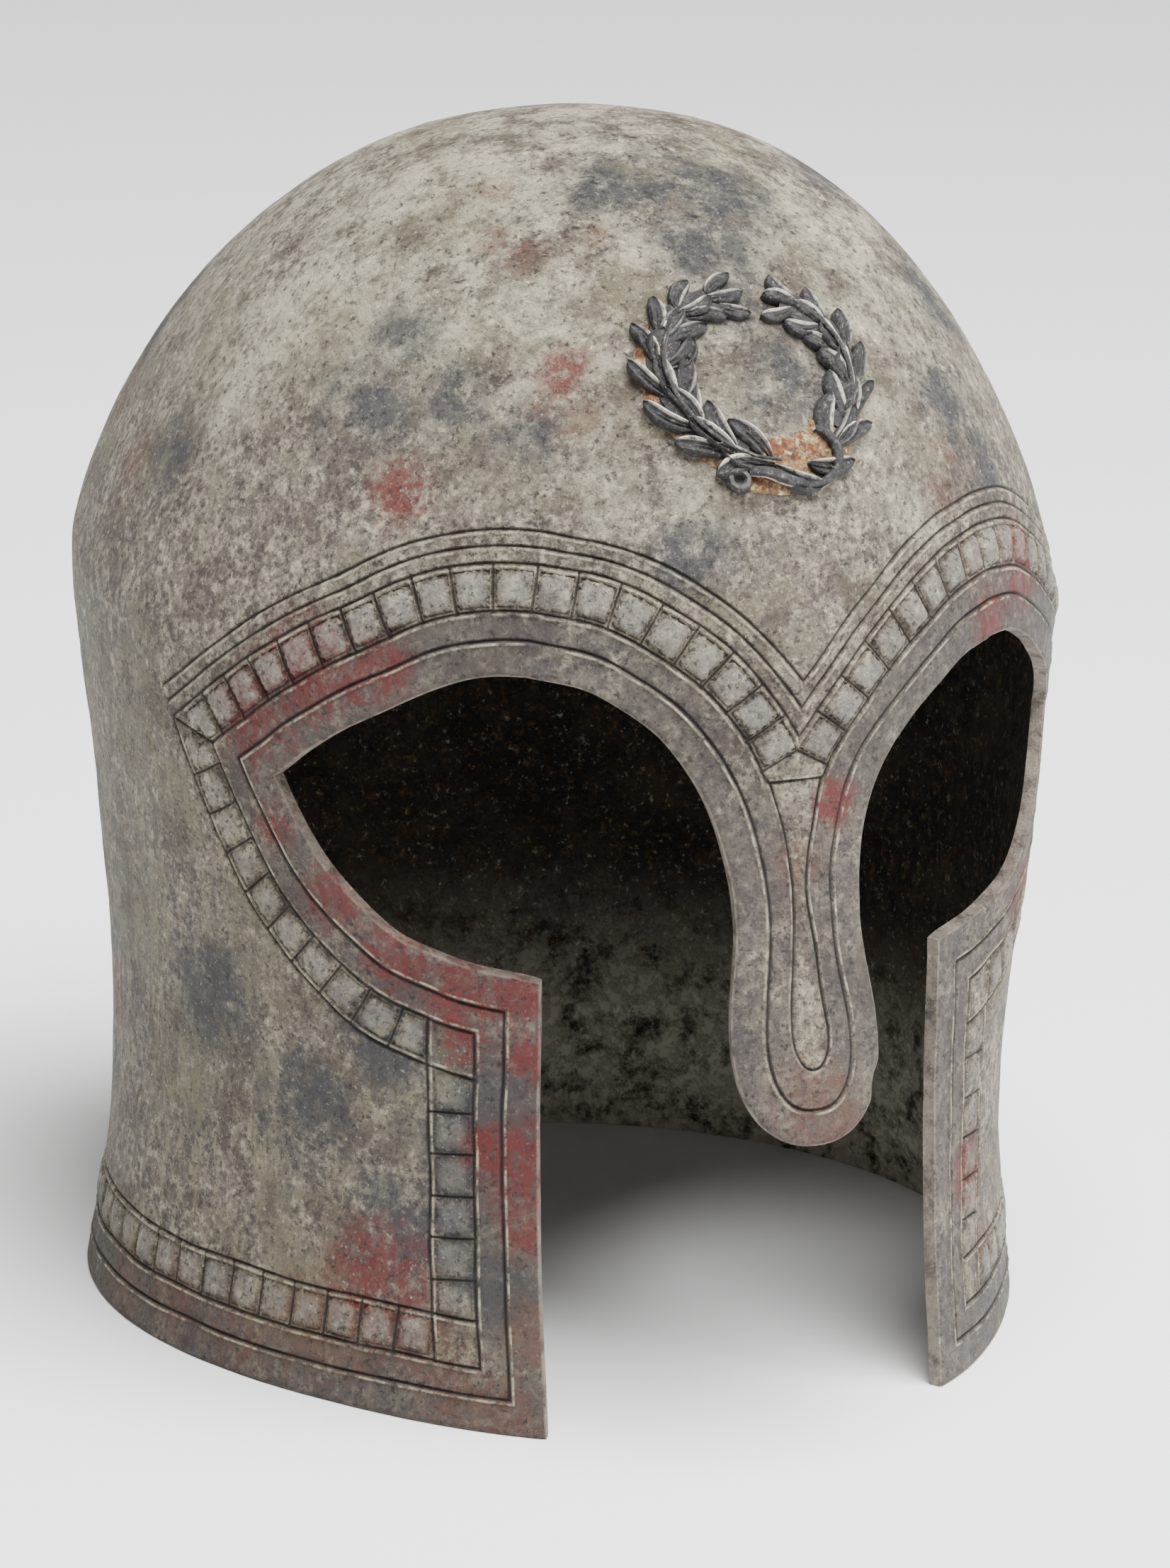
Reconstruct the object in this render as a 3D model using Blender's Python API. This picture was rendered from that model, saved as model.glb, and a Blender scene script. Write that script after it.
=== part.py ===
"""A Greek bronze helmet with eye openings, a nasal and long cheek pieces, standing on its rim.

The bronze is one piece: bowl, nasal, cheek pieces and nape. A laurel wreath, cast by itself, is
cemented to the forehead. The face looks along -Y, +Z is up and the rim stands on Z = 0.
All lengths are in metres.
"""

import math

import bmesh
import bpy
import numpy as np
from mathutils import Vector
from mathutils.geometry import delaunay_2d_cdt

# Sizes of the bowl, from its axis and its rim
HEIGHT = 0.2476
HALF_WIDTH = 0.100
FRONT_REACH = 0.1024
BACK_REACH = 0.126
BROW_HEIGHT = 0.151
WALL = 0.003

# Sizes of the face opening, across from the middle line and up from the rim
CHEEK_ACROSS = 0.0448
CHEEK_TOP = 0.0925
CHEEK_FOOT_FORWARD = 0.004
CHEEK_TOP_BACK = 0.013
EYE_CORNER_ACROSS = 0.0873
EYE_CORNER_UP = 0.1284
ARCH_ACROSS = 0.052
ARCH_TOP = 0.157
NASAL_REACH = 0.118
NASAL_WAIST = 0.0138
NASAL_WAIST_UP = 0.109
NASAL_BULB = 0.0163
NASAL_BULB_UP = 0.086
NASAL_TIP_UP = 0.0656

# Sizes of the wreath. It climbs the forehead from the level of the widest section.
WREATH_CLIMB = 0.068
WREATH_ACROSS = 0.0195
WREATH_UP = 0.0185
WREATH_TILT = math.radians(10)
WREATH_BAND = 0.0075
WREATH_THICK = 0.0012
LEAF_LONG = 0.0115
LEAF_WIDE = 0.0048
LEAF_HIGH = 0.0015
KNOT_RADIUS = 0.0022
RIBBON_RADIUS = 0.0009
SEAT_GAP = 0.0003

# Sections of the skirt, from the rim to the widest one. Heights are shares of BROW_HEIGHT, and
# the other columns are shares of HALF_WIDTH, FRONT_REACH and BACK_REACH.
SECTION_HEIGHT = (0.00, 0.17, 0.40, 0.67, 1.00)
SECTIONS = {
    "side": (0.986, 0.947, 0.929, 0.955, 1.000),
    "front": (1.019, 0.994, 1.010, 1.067, 1.000),
    "back": (0.715, 0.705, 0.775, 0.885, 1.000),
}

# The dome above the widest section: how its reach falls with the share of the climb,
# reach = (1 - climb ** climb_power) ** (1 / reach_power).
DOME = {
    "side": {"climb_power": 1.306, "reach_power": 2.411},
    "front": {"climb_power": 1.951, "reach_power": 1.922},
    "back": {"climb_power": 1.600, "reach_power": 1.950},
}

# How square each half of a section is: 2 is an ellipse, less is more pointed.
FRONT_POWER = 1.823
BACK_POWER = 2.072

# The nasal's own line. Heights are shares of BROW_HEIGHT, and its reach goes from FRONT_REACH, at
# 0, to NASAL_REACH, at 1. It holds within the first angle and is gone by the second.
NOSE_HEIGHT = (0.20, 0.42, 0.50, 0.58, 0.66, 0.74, 0.83, 0.91, 1.00)
NOSE_SHARE = (1.02, 1.00, 0.87, 0.65, 0.41, 0.22, 0.00, -0.11, -0.09)
NOSE_FADE = (math.radians(12), math.radians(27))
NOSE_TOP = (0.92, 1.09)

# The cheek pieces' front edges lean: forward at the foot and back at the top. The lean holds
# within the first angle and is gone by the second, and CHEEK_CURVE says how late it sets in.
CHEEK_FADE = (math.radians(32), math.radians(62))
CHEEK_CURVE = 1.6

# Runs of the face opening between its named points, as shares of the way across and up.
LOWER_EYE = {
    "across": (0.00, 0.26, 0.43, 0.58, 0.71, 0.84, 0.93, 1.00),
    "up": (0.00, 0.05, 0.12, 0.20, 0.34, 0.54, 0.76, 1.00),
}
OUTER_ARCH = {
    "across": (0.00, 0.10, 0.23, 0.40, 0.56, 0.72, 0.86, 1.00),
    "up": (0.00, 0.23, 0.44, 0.64, 0.81, 0.93, 0.985, 1.00),
}
INNER_ARCH = {
    "across": (0.00, 0.24, 0.41, 0.59, 0.72, 0.825, 0.90, 0.955, 0.99, 1.00),
    "up": (0.00, 0.03, 0.10, 0.205, 0.32, 0.44, 0.56, 0.70, 0.85, 1.00),
}
NASAL_END_POWER = 2.3

# How finely the bronze is faceted
COLUMNS = 60
ROW_STEP = 0.011
DOME_ROWS = 9
EDGE_STEP = 0.004
EDGE_CLEAR = 0.0042
CHEEK_EDGE_STEPS = 9

# How many leaves a branch has, from the knot to its open end
STATIONS = 8
FIRST_STATION = math.radians(-76)
LAST_STATION = math.radians(72)
LEAF_SHRINK = 0.30
SIDE_LEAF_TURN = math.radians(34)
SIDE_LEAF_SHIFT = 0.42
PLATE_STEPS = 28

# How high each row of leaves starts, inner, middle and outer, as shares of WREATH_THICK
LEAF_LIFT = {-1: 0.31, 0: 0.72, 1: 0.52}
LEAF_STAGGER = 0.07

# A leaf's half outline, from its stalk to its tip, and how its rib rises. A leaf's edge stands
# LEAF_EDGE of its height above its foot.
LEAF_EDGE = 0.35
LEAF_ALONG = (0.00, 0.18, 0.45, 0.75, 1.00)
LEAF_HALF_WIDTH = (0.00, 0.36, 0.50, 0.34, 0.00)
LEAF_RIB = (0.00, 0.75, 1.00, 0.70, 0.00)

# The ribbon that hangs from the knot, as shares of WREATH_ACROSS and WREATH_UP from the centre
RIBBON_LEFT = ((-0.15, -1.30), (-0.52, -1.36), (-0.80, -1.22))
RIBBON_RIGHT = (
    (-0.15, -1.28), (0.20, -1.30), (0.52, -1.16), (0.66, -0.86), (0.56, -0.62), (0.40, -0.50),
)
KNOT_PLACE = (-0.12, -1.20)

# The knot's profile, as shares of its radius
KNOT_ACROSS = (1.00, 1.00, 0.75, 0.35)
KNOT_UP = (0.00, 0.50, 0.90, 1.10)


def clear_scene():
    """Remove every object, so that the file holds the helmet alone."""
    for item in list(bpy.data.objects):
        bpy.data.objects.remove(item, do_unlink=True)


def smooth_step(value, start, end):
    """A share that goes smoothly from 0 at start to 1 at end."""
    share = np.clip((value - start) / (end - start), 0.0, 1.0)
    return share * share * (3.0 - 2.0 * share)


def smooth_curve(stops, values, at, end_slope=None):
    """Values read from a smooth curve through the stops, by cubic Hermite pieces."""
    stops = np.asarray(stops, float)
    values = np.asarray(values, float)
    at = np.clip(np.asarray(at, float), stops[0], stops[-1])
    slopes = np.gradient(values, stops)
    if end_slope is not None:
        slopes[-1] = end_slope
    piece = np.clip(np.searchsorted(stops, at, side="right") - 1, 0, len(stops) - 2)
    width = stops[piece + 1] - stops[piece]
    share = (at - stops[piece]) / width
    low, high = values[piece], values[piece + 1]
    start = slopes[piece] * width
    end = slopes[piece + 1] * width
    cubed = share * share * share
    squared = share * share
    return (
        low * (2 * cubed - 3 * squared + 1)
        + high * (3 * squared - 2 * cubed)
        + start * (cubed - 2 * squared + share)
        + end * (cubed - squared)
    )


def reach(way, full, up):
    """How far the bowl reaches from its axis at a height: way is side, front or back."""
    skirt = smooth_curve(SECTION_HEIGHT, SECTIONS[way], up / BROW_HEIGHT, end_slope=0.0)
    climb = np.clip((up - BROW_HEIGHT) / (HEIGHT - BROW_HEIGHT), 0.0, 1.0)
    dome = (1.0 - climb ** DOME[way]["climb_power"]) ** (1.0 / DOME[way]["reach_power"])
    return full * np.where(up > BROW_HEIGHT, dome, skirt)


def front_reach(angle, up):
    """The front's reach at a height, with the nasal's line and the cheek pieces' lean."""
    plain = reach("front", FRONT_REACH, up)
    turn = np.abs(angle)
    nose_line = FRONT_REACH + (NASAL_REACH - FRONT_REACH) * smooth_curve(
        NOSE_HEIGHT, NOSE_SHARE, up / BROW_HEIGHT
    )
    nose = 1.0 - smooth_step(turn, *NOSE_FADE)
    nose = nose * (1.0 - smooth_step(up / BROW_HEIGHT, *NOSE_TOP))
    climb = np.clip(up / CHEEK_TOP, 0.0, 1.0)
    lean = (CHEEK_FOOT_FORWARD + CHEEK_TOP_BACK) * climb**CHEEK_CURVE - CHEEK_FOOT_FORWARD
    lean = lean * (1.0 - smooth_step(up, CHEEK_TOP, BROW_HEIGHT))
    cheek = smooth_step(turn, *NOSE_FADE) * (1.0 - smooth_step(turn, *CHEEK_FADE))
    return plain + nose * (nose_line - plain) - cheek * lean


def bowl_points(angle, up):
    """Points of the outer surface. Angle 0 is the front and grows towards +X."""
    angle = np.asarray(angle, float)
    up = np.asarray(up, float) + 0.0 * angle
    across = np.sin(angle)
    along = np.cos(angle)
    front = along > 0.0
    power = np.where(front, FRONT_POWER, BACK_POWER)
    x = reach("side", HALF_WIDTH, up) * np.sign(across) * np.abs(across) ** (2.0 / power)
    depth = np.abs(along) ** (2.0 / power)
    y = np.where(front, -front_reach(angle, up) * depth, reach("back", BACK_REACH, up) * depth)
    return np.stack([x, y, up], axis=-1)


def front_angle(across, up):
    """The angle at which the outer surface lies this far across, on its front half."""
    share = np.clip(np.abs(across) / reach("side", HALF_WIDTH, up), 0.0, 1.0)
    return np.sign(across) * np.arcsin(share ** (FRONT_POWER / 2.0))


def run_points(shares, start, end, step):
    """A smooth run of the opening's edge between two named points, without its first point."""
    stops = np.linspace(0.0, 1.0, len(shares["across"]))
    length = math.dist(start, end)
    steps = max(4, round(1.1 * length / step))
    at = np.linspace(0.0, 1.0, steps + 1)[1:]
    across = smooth_curve(stops, shares["across"], at)
    up = smooth_curve(stops, shares["up"], at)
    return [
        (start[0] + (end[0] - start[0]) * a, start[1] + (end[1] - start[1]) * u)
        for a, u in zip(across, up)
    ]


def nasal_points(step):
    """The nasal's edge, from its waist over its bulb to its tip, without the first point."""
    flare_steps = max(3, round((NASAL_WAIST_UP - NASAL_BULB_UP) / step))
    points = []
    for share in np.linspace(0.0, 1.0, flare_steps + 1)[1:]:
        across = NASAL_WAIST + (NASAL_BULB - NASAL_WAIST) * smooth_step(share, 0.0, 1.0)
        points.append((across, NASAL_WAIST_UP + (NASAL_BULB_UP - NASAL_WAIST_UP) * share))
    drop = NASAL_BULB_UP - NASAL_TIP_UP
    end_steps = max(5, round(1.4 * drop / step))
    for turn in np.linspace(0.0, math.pi / 2, end_steps + 1)[1:]:
        across = NASAL_BULB * max(math.cos(turn), 0.0) ** (2.0 / NASAL_END_POWER)
        points.append((across, NASAL_BULB_UP - drop * math.sin(turn) ** (2.0 / NASAL_END_POWER)))
    return points


def half_opening(step):
    """The face opening's edge on the +X side, from the rim to the nasal's tip."""
    foot = (CHEEK_ACROSS, 0.0)
    cheek_top = (CHEEK_ACROSS, CHEEK_TOP)
    eye_corner = (EYE_CORNER_ACROSS, EYE_CORNER_UP)
    arch_top = (ARCH_ACROSS, ARCH_TOP)
    waist = (NASAL_WAIST, NASAL_WAIST_UP)
    points = [foot]
    for index in range(1, CHEEK_EDGE_STEPS + 1):
        points.append((CHEEK_ACROSS, CHEEK_TOP * index / CHEEK_EDGE_STEPS))
    points += run_points(LOWER_EYE, cheek_top, eye_corner, step)
    points += run_points(OUTER_ARCH, eye_corner, arch_top, step)
    points += run_points(INNER_ARCH, arch_top, waist, step)
    points += nasal_points(step)
    return points


def opening_outline(step):
    """The whole opening's edge as rows of angle and height, from the -X foot to the +X foot."""
    right = half_opening(step)
    left = [(-across, up) for across, up in right[:-1]]
    across, up = np.array(left + right[::-1]).T
    return np.stack([front_angle(across, up), up], axis=-1)


def inside(points, outline):
    """Which of the flat points lie inside the closed outline."""
    found = np.zeros(len(points), bool)
    for (x0, y0), (x1, y1) in zip(outline, np.roll(outline, -1, axis=0)):
        spans = (y0 > points[:, 1]) != (y1 > points[:, 1])
        if y0 == y1:
            continue
        cross = x0 + (x1 - x0) * (points[:, 1] - y0) / (y1 - y0)
        found ^= spans & (points[:, 0] < cross)
    return found


def distance_to(points, outline):
    """How far each flat point lies from the open outline."""
    nearest = np.full(len(points), np.inf)
    for start, end in zip(outline[:-1], outline[1:]):
        along = end - start
        share = np.clip((points - start) @ along / (along @ along), 0.0, 1.0)
        nearest = np.minimum(nearest, np.linalg.norm(points - start - share[:, None] * along, axis=1))
    return nearest


def skirt_skin():
    """The bowl below the dome, cut round the face opening: points and faces on the unrolled sheet."""
    top = ARCH_TOP + ROW_STEP
    rows = np.linspace(0.0, top, math.ceil(top / ROW_STEP) + 1)
    angles = np.linspace(-math.pi, math.pi, COLUMNS + 1)
    outline = opening_outline(EDGE_STEP)
    # The sheet is unrolled at the widest section, so that its two directions match in length
    flat_outline = outline * (HALF_WIDTH, 1.0)
    foot_angle = -outline[0][0]
    rim = [angle for angle in angles if abs(angle) > foot_angle + EDGE_CLEAR / HALF_WIDTH]
    border = [(angle, 0.0) for angle in rim if angle > 0.0]
    border += [(math.pi, up) for up in rows[1:]]
    border += [(angle, top) for angle in angles[-2::-1]]
    border += [(-math.pi, up) for up in rows[-2::-1]]
    border += [(angle, 0.0) for angle in rim if -math.pi < angle < 0.0]
    border = np.array(border) * (HALF_WIDTH, 1.0)
    polygon = np.concatenate([flat_outline, border])
    grid = np.array([(angle * HALF_WIDTH, up) for up in rows[1:-1] for angle in angles[1:-1]])
    keep = inside(grid, polygon) & (distance_to(grid, flat_outline) > EDGE_CLEAR)
    points = [Vector(point) for point in np.concatenate([polygon, grid[keep]])]
    count = len(polygon)
    edges = [(index, (index + 1) % count) for index in range(count)]
    flat, _, faces, _, _, _ = delaunay_2d_cdt(points, edges, [list(range(count))], 1, 1e-7)
    sheet = np.array([(point.x / HALF_WIDTH, point.y) for point in flat])
    return sheet, faces, top, angles


def bowl_skin():
    """The whole outer surface as a mesh with one open edge, the rim and the face opening."""
    sheet, faces, top, angles = skirt_skin()
    skin = bmesh.new()
    verts = {}

    def vert_at(angle, up):
        """The vertex at this place, one for both ends of the sheet, which meet at the back."""
        key = (round(math.remainder(angle, math.tau), 6), round(up, 7))
        if abs(abs(key[0]) - round(math.pi, 6)) < 2e-6:
            key = (round(math.pi, 6), key[1])
        if key not in verts:
            verts[key] = skin.verts.new(bowl_points(key[0], up))
        return verts[key]

    for face in faces:
        skin.faces.new([vert_at(*sheet[index]) for index in face])
    below = [vert_at(angle, top) for angle in angles[:-1]]
    for row in range(1, DOME_ROWS):
        climb = 1.0 - (1.0 - row / DOME_ROWS) ** 2
        up = top + (HEIGHT - top) * climb
        above = [vert_at(angle, up) for angle in angles[:-1]]
        for index in range(COLUMNS):
            after = (index + 1) % COLUMNS
            skin.faces.new((below[index], below[after], above[after], above[index]))
        below = above
    crown = skin.verts.new((0.0, 0.0, HEIGHT))
    for index in range(COLUMNS):
        skin.faces.new((below[index], below[(index + 1) % COLUMNS], crown))
    bmesh.ops.recalc_face_normals(skin, faces=skin.faces)
    return skin


def thicken(skin, wall):
    """Give the skin its wall: an inner skin square to the outer one, joined round every edge."""
    skin.normal_update()
    outer_faces = list(skin.faces)
    edges = [edge for edge in skin.edges if edge.is_boundary]
    inner = {}
    for vert in list(skin.verts):
        place = vert.co - vert.normal * wall
        if vert.co.z < 1e-6:
            # The rim is flat, so its inner edge moves level with the ground
            level = Vector((vert.normal.x, vert.normal.y, 0.0)).normalized()
            place = vert.co - level * wall
        inner[vert] = skin.verts.new(place)
    for face in outer_faces:
        skin.faces.new([inner[vert] for vert in reversed(face.verts)])
    for edge in edges:
        loop = edge.link_loops[0]
        start, end = loop.vert, loop.link_loop_next.vert
        skin.faces.new((end, start, inner[start], inner[end]))


def finished(name, mesh_data, material):
    """An object made of the bmesh, smooth apart from its sharp edges."""
    mesh = bpy.data.meshes.new(name)
    mesh_data.to_mesh(mesh)
    mesh_data.free()
    mesh.shade_smooth()
    mesh.set_sharp_from_angle(angle=math.radians(35))
    mesh.materials.append(material)
    item = bpy.data.objects.new(name, mesh)
    bpy.context.scene.collection.objects.link(item)
    return item


def metal(name, colour, roughness, metallic):
    """A plain metal finish."""
    material = bpy.data.materials.new(name)
    material.use_nodes = True
    shader = material.node_tree.nodes["Principled BSDF"]
    shader.inputs["Base Color"].default_value = (*colour, 1.0)
    shader.inputs["Roughness"].default_value = roughness
    shader.inputs["Metallic"].default_value = metallic
    return material


def helmet_shell():
    """The bowl, nasal, cheek pieces and nape: one wall of bronze."""
    skin = bowl_skin()
    # The helmet is centred on the origin from front to back
    ends = [vert.co.y for vert in skin.verts]
    shift = -(min(ends) + max(ends)) / 2.0
    thicken(skin, WALL)
    bmesh.ops.translate(skin, verts=skin.verts, vec=(0.0, shift, 0.0))
    patina = metal("patinated_bronze", (0.25, 0.235, 0.205), 0.72, 0.35)
    return finished("helmet_shell", skin, patina), shift


class Forehead:
    """Places on the forehead, across and up from the wreath's centre, along the bronze."""

    def __init__(self, shift):
        """shift is how far the helmet was moved along Y."""
        self.shift = shift
        self.ups = BROW_HEIGHT + (HEIGHT - BROW_HEIGHT) * np.linspace(0.0, 0.999, 400)
        line = bowl_points(np.zeros_like(self.ups), self.ups)
        steps = np.linalg.norm(np.diff(line, axis=0), axis=1)
        self.climbs = np.concatenate([[0.0], np.cumsum(steps)])

    def surface(self, across, climb):
        """The point of the bronze this far across and up the middle line from the brow."""
        up = np.interp(climb, self.climbs, self.ups)
        point = bowl_points(front_angle(across, up), up)
        return Vector(point) + Vector((0.0, self.shift, 0.0))

    def place(self, across, up, lift):
        """A point of the wreath: turned by its tilt and lifted square off the bronze."""
        turned = across * math.cos(WREATH_TILT) + up * math.sin(WREATH_TILT)
        climb = WREATH_CLIMB - across * math.sin(WREATH_TILT) + up * math.cos(WREATH_TILT)
        small = 0.0005
        point = self.surface(turned, climb)
        right = self.surface(turned + small, climb) - point
        above = self.surface(turned, climb + small) - point
        return point + right.cross(above).normalized() * lift


def spine(turn):
    """The wreath's middle line on one side: turn -90 degrees is the knot and 90 the open top."""
    across = WREATH_ACROSS * math.cos(turn)
    up = WREATH_UP * math.sin(turn)
    heading = math.atan2(WREATH_UP * math.cos(turn), -WREATH_ACROSS * math.sin(turn))
    return across, up, heading


def closed_tube(rings):
    """A closed solid that runs through rings of points, with its two ends filled."""
    made = bmesh.new()
    loops = [[made.verts.new(point) for point in ring] for ring in rings]
    count = len(loops[0])
    for low, high in zip(loops[:-1], loops[1:]):
        for index in range(count):
            after = (index + 1) % count
            made.faces.new((low[index], low[after], high[after], high[index]))
    made.faces.new(loops[0][::-1])
    made.faces.new(loops[-1])
    bmesh.ops.recalc_face_normals(made, faces=made.faces)
    bmesh.ops.triangulate(made, faces=made.faces)
    return made


def guide(name, made, guides):
    """Turn the bmesh into an object that only takes part in a union."""
    mesh = bpy.data.meshes.new(name)
    made.to_mesh(mesh)
    made.free()
    item = bpy.data.objects.new(name, mesh)
    item.hide_render = True
    item.display_type = "WIRE"
    guides.objects.link(item)


def leaf(forehead, name, side, centre, heading, long, lift, guides):
    """One leaf: a pointed outline with a flat foot, a low edge and a rib raised along its middle."""
    scale = long / LEAF_LONG
    edge_lift = lift + LEAF_EDGE * LEAF_HIGH * scale

    def at(along, beside, height):
        """A point of the leaf, along its heading and beside it."""
        across = centre[0] + along * math.cos(heading) - beside * math.sin(heading)
        up = centre[1] + along * math.sin(heading) + beside * math.cos(heading)
        return forehead.place(side * across, up, height)

    made = bmesh.new()
    rows = list(zip(LEAF_ALONG, LEAF_HALF_WIDTH, LEAF_RIB))
    outline = [(share, -half) for share, half, _ in rows]
    outline += [(share, half) for share, half, _ in rows[-2:0:-1]]
    low, high = [], []
    for share, half in outline:
        along, beside = (share - 0.5) * long, half * LEAF_WIDE * scale
        low.append(made.verts.new(at(along, beside, lift)))
        high.append(made.verts.new(at(along, beside, edge_lift)))
    made.faces.new(low)
    for index in range(len(low)):
        after = (index + 1) % len(low)
        made.faces.new((low[index], low[after], high[after], high[index]))
    last = len(rows) - 1
    rib = [high[0]]
    for share, _, rise in rows[1:-1]:
        rib.append(made.verts.new(at((share - 0.5) * long, 0.0, edge_lift + rise * LEAF_HIGH * scale)))
    rib.append(high[last])
    for edge in (high[: last + 1], [high[0], *high[:last:-1], high[last]]):
        for index in range(last):
            corners = (edge[index], edge[index + 1], rib[index + 1], rib[index])
            made.faces.new(list(dict.fromkeys(corners)))
    bmesh.ops.recalc_face_normals(made, faces=made.faces)
    bmesh.ops.triangulate(made, faces=made.faces)
    guide(name, made, guides)


def branch(forehead, side, guides):
    """One branch of the wreath: stations of three overlapping leaves, smaller towards its open end."""
    label = "right" if side > 0 else "left"
    for station in range(STATIONS):
        share = station / (STATIONS - 1)
        turn = FIRST_STATION + (LAST_STATION - FIRST_STATION) * share
        across, up, heading = spine(turn)
        long = LEAF_LONG * (1.0 - LEAF_SHRINK * share)
        outward = (math.cos(turn), math.sin(turn))
        for row in (-1, 1, 0):
            shift = row * SIDE_LEAF_SHIFT * WREATH_BAND
            centre = (across + outward[0] * shift, up + outward[1] * shift)
            # Leaves that overlap start at different heights, so that no two feet share a plane
            step = LEAF_LIFT[row] + LEAF_STAGGER * (station % 2 + (side > 0) / 2)
            lift = SEAT_GAP + step * WREATH_THICK
            leaf(
                forehead, f"leaf_{label}_{station}_{row + 1}", side, centre,
                heading - row * SIDE_LEAF_TURN, long, lift, guides,
            )


def plate_rings(forehead):
    """The wreath's body: a flat band open at the top, seated on the bronze, ring by ring."""
    ends = (LAST_STATION, FIRST_STATION)
    turns = np.linspace(*ends, PLATE_STEPS)
    rings = []
    for side, way in ((1, turns), (-1, turns[::-1])):
        for turn in way:
            across, up, _ = spine(turn)
            ring = []
            for shift, lift in ((-0.5, 0.0), (0.5, 0.0), (0.5, 1.0), (-0.5, 1.0)):
                out = shift * WREATH_BAND
                place_across = side * (across + out * math.cos(turn))
                place_up = up + out * math.sin(turn)
                ring.append(forehead.place(place_across, place_up, SEAT_GAP + lift * WREATH_THICK))
            rings.append(ring)
    return rings


def ribbon(forehead, name, route, guides):
    """One end of the ribbon: a round cord that runs along the bronze through the route's places."""
    stops = np.linspace(0.0, 1.0, len(route))
    at = np.linspace(0.0, 1.0, 3 * (len(route) - 1) + 1)
    across = WREATH_ACROSS * smooth_curve(stops, [place[0] for place in route], at)
    up = WREATH_UP * smooth_curve(stops, [place[1] for place in route], at)
    lift = SEAT_GAP + RIBBON_RADIUS
    rings = []
    for index, place in enumerate(zip(across, up)):
        ahead = np.array([across[min(index + 1, len(at) - 1)], up[min(index + 1, len(at) - 1)]])
        behind = np.array([across[max(index - 1, 0)], up[max(index - 1, 0)]])
        along = (ahead - behind) / np.linalg.norm(ahead - behind)
        ring = []
        for turn in np.arange(6) * math.tau / 6:
            beside = RIBBON_RADIUS * math.cos(turn)
            ring.append(forehead.place(
                place[0] - along[1] * beside, place[1] + along[0] * beside,
                lift + RIBBON_RADIUS * math.sin(turn),
            ))
        rings.append(ring)
    guide(name, closed_tube(rings), guides)


def knot(forehead, guides):
    """The knot at the foot of the wreath: a low round boss."""
    rings = []
    for share, lift in zip(KNOT_ACROSS, KNOT_UP):
        ring = []
        for turn in np.arange(10) * math.tau / 10:
            across = KNOT_PLACE[0] * WREATH_ACROSS + share * KNOT_RADIUS * math.cos(turn)
            up = KNOT_PLACE[1] * WREATH_UP + share * KNOT_RADIUS * math.sin(turn)
            ring.append(forehead.place(across, up, SEAT_GAP + lift * KNOT_RADIUS))
        rings.append(ring)
    guide("knot", closed_tube(rings), guides)


def laurel_wreath(shift):
    """Two laurel branches, open at the top and tied at the foot: one dark casting."""
    forehead = Forehead(shift)
    guides = bpy.data.collections.new("wreath_leaves")
    bpy.context.scene.collection.children.link(guides)
    branch(forehead, 1, guides)
    branch(forehead, -1, guides)
    ribbon(forehead, "ribbon_left", RIBBON_LEFT, guides)
    ribbon(forehead, "ribbon_right", RIBBON_RIGHT, guides)
    knot(forehead, guides)
    dark = metal("dark_cast_bronze", (0.055, 0.055, 0.06), 0.6, 0.5)
    wreath = finished("laurel_wreath", closed_tube(plate_rings(forehead)), dark)
    union = wreath.modifiers.new("leaves", "BOOLEAN")
    union.operation = "UNION"
    union.operand_type = "COLLECTION"
    union.collection = guides
    union.solver = "EXACT"


def main():
    """Build the helmet."""
    clear_scene()
    _, shift = helmet_shell()
    laurel_wreath(shift)


main()
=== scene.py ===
"""Looks of a Greek bronze helmet: engraved borders, laurel wreath, patina and studio.

The shapes follow the same named sizes as the part's source and stand in the row frame: the face
looks along -Y, +Z is up and the rim stands on Z = 0. All lengths are in metres.
"""

import logging
import math
from collections.abc import Callable
from dataclasses import dataclass, field
from enum import Enum
from typing import NamedTuple

import bpy
import numpy as np
from mathutils import Matrix, Vector, kdtree, noise
from mathutils.geometry import delaunay_2d_cdt

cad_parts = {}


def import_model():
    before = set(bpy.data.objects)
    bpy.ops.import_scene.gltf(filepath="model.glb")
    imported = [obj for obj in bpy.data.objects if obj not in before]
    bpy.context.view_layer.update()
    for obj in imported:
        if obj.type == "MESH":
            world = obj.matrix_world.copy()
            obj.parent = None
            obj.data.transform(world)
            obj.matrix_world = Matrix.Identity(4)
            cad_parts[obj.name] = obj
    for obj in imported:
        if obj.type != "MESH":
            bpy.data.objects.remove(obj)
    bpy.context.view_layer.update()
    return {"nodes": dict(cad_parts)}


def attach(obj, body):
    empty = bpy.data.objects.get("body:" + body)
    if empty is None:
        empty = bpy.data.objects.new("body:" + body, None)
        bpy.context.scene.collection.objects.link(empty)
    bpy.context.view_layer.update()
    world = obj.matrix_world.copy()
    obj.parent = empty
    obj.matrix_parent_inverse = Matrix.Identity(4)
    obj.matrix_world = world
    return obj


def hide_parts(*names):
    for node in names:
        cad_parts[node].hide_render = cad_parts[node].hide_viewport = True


MM = 0.001
log = logging.getLogger("greek_helmet")
Socket = bpy.types.NodeSocket
Rows = np.ndarray | tuple


def smooth_step(value: np.ndarray, start: float, end: float) -> np.ndarray:
    """A share that goes smoothly from 0 at start to 1 at end."""
    share = np.clip((value - start) / (end - start), 0.0, 1.0)
    return share * share * (3.0 - 2.0 * share)


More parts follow.
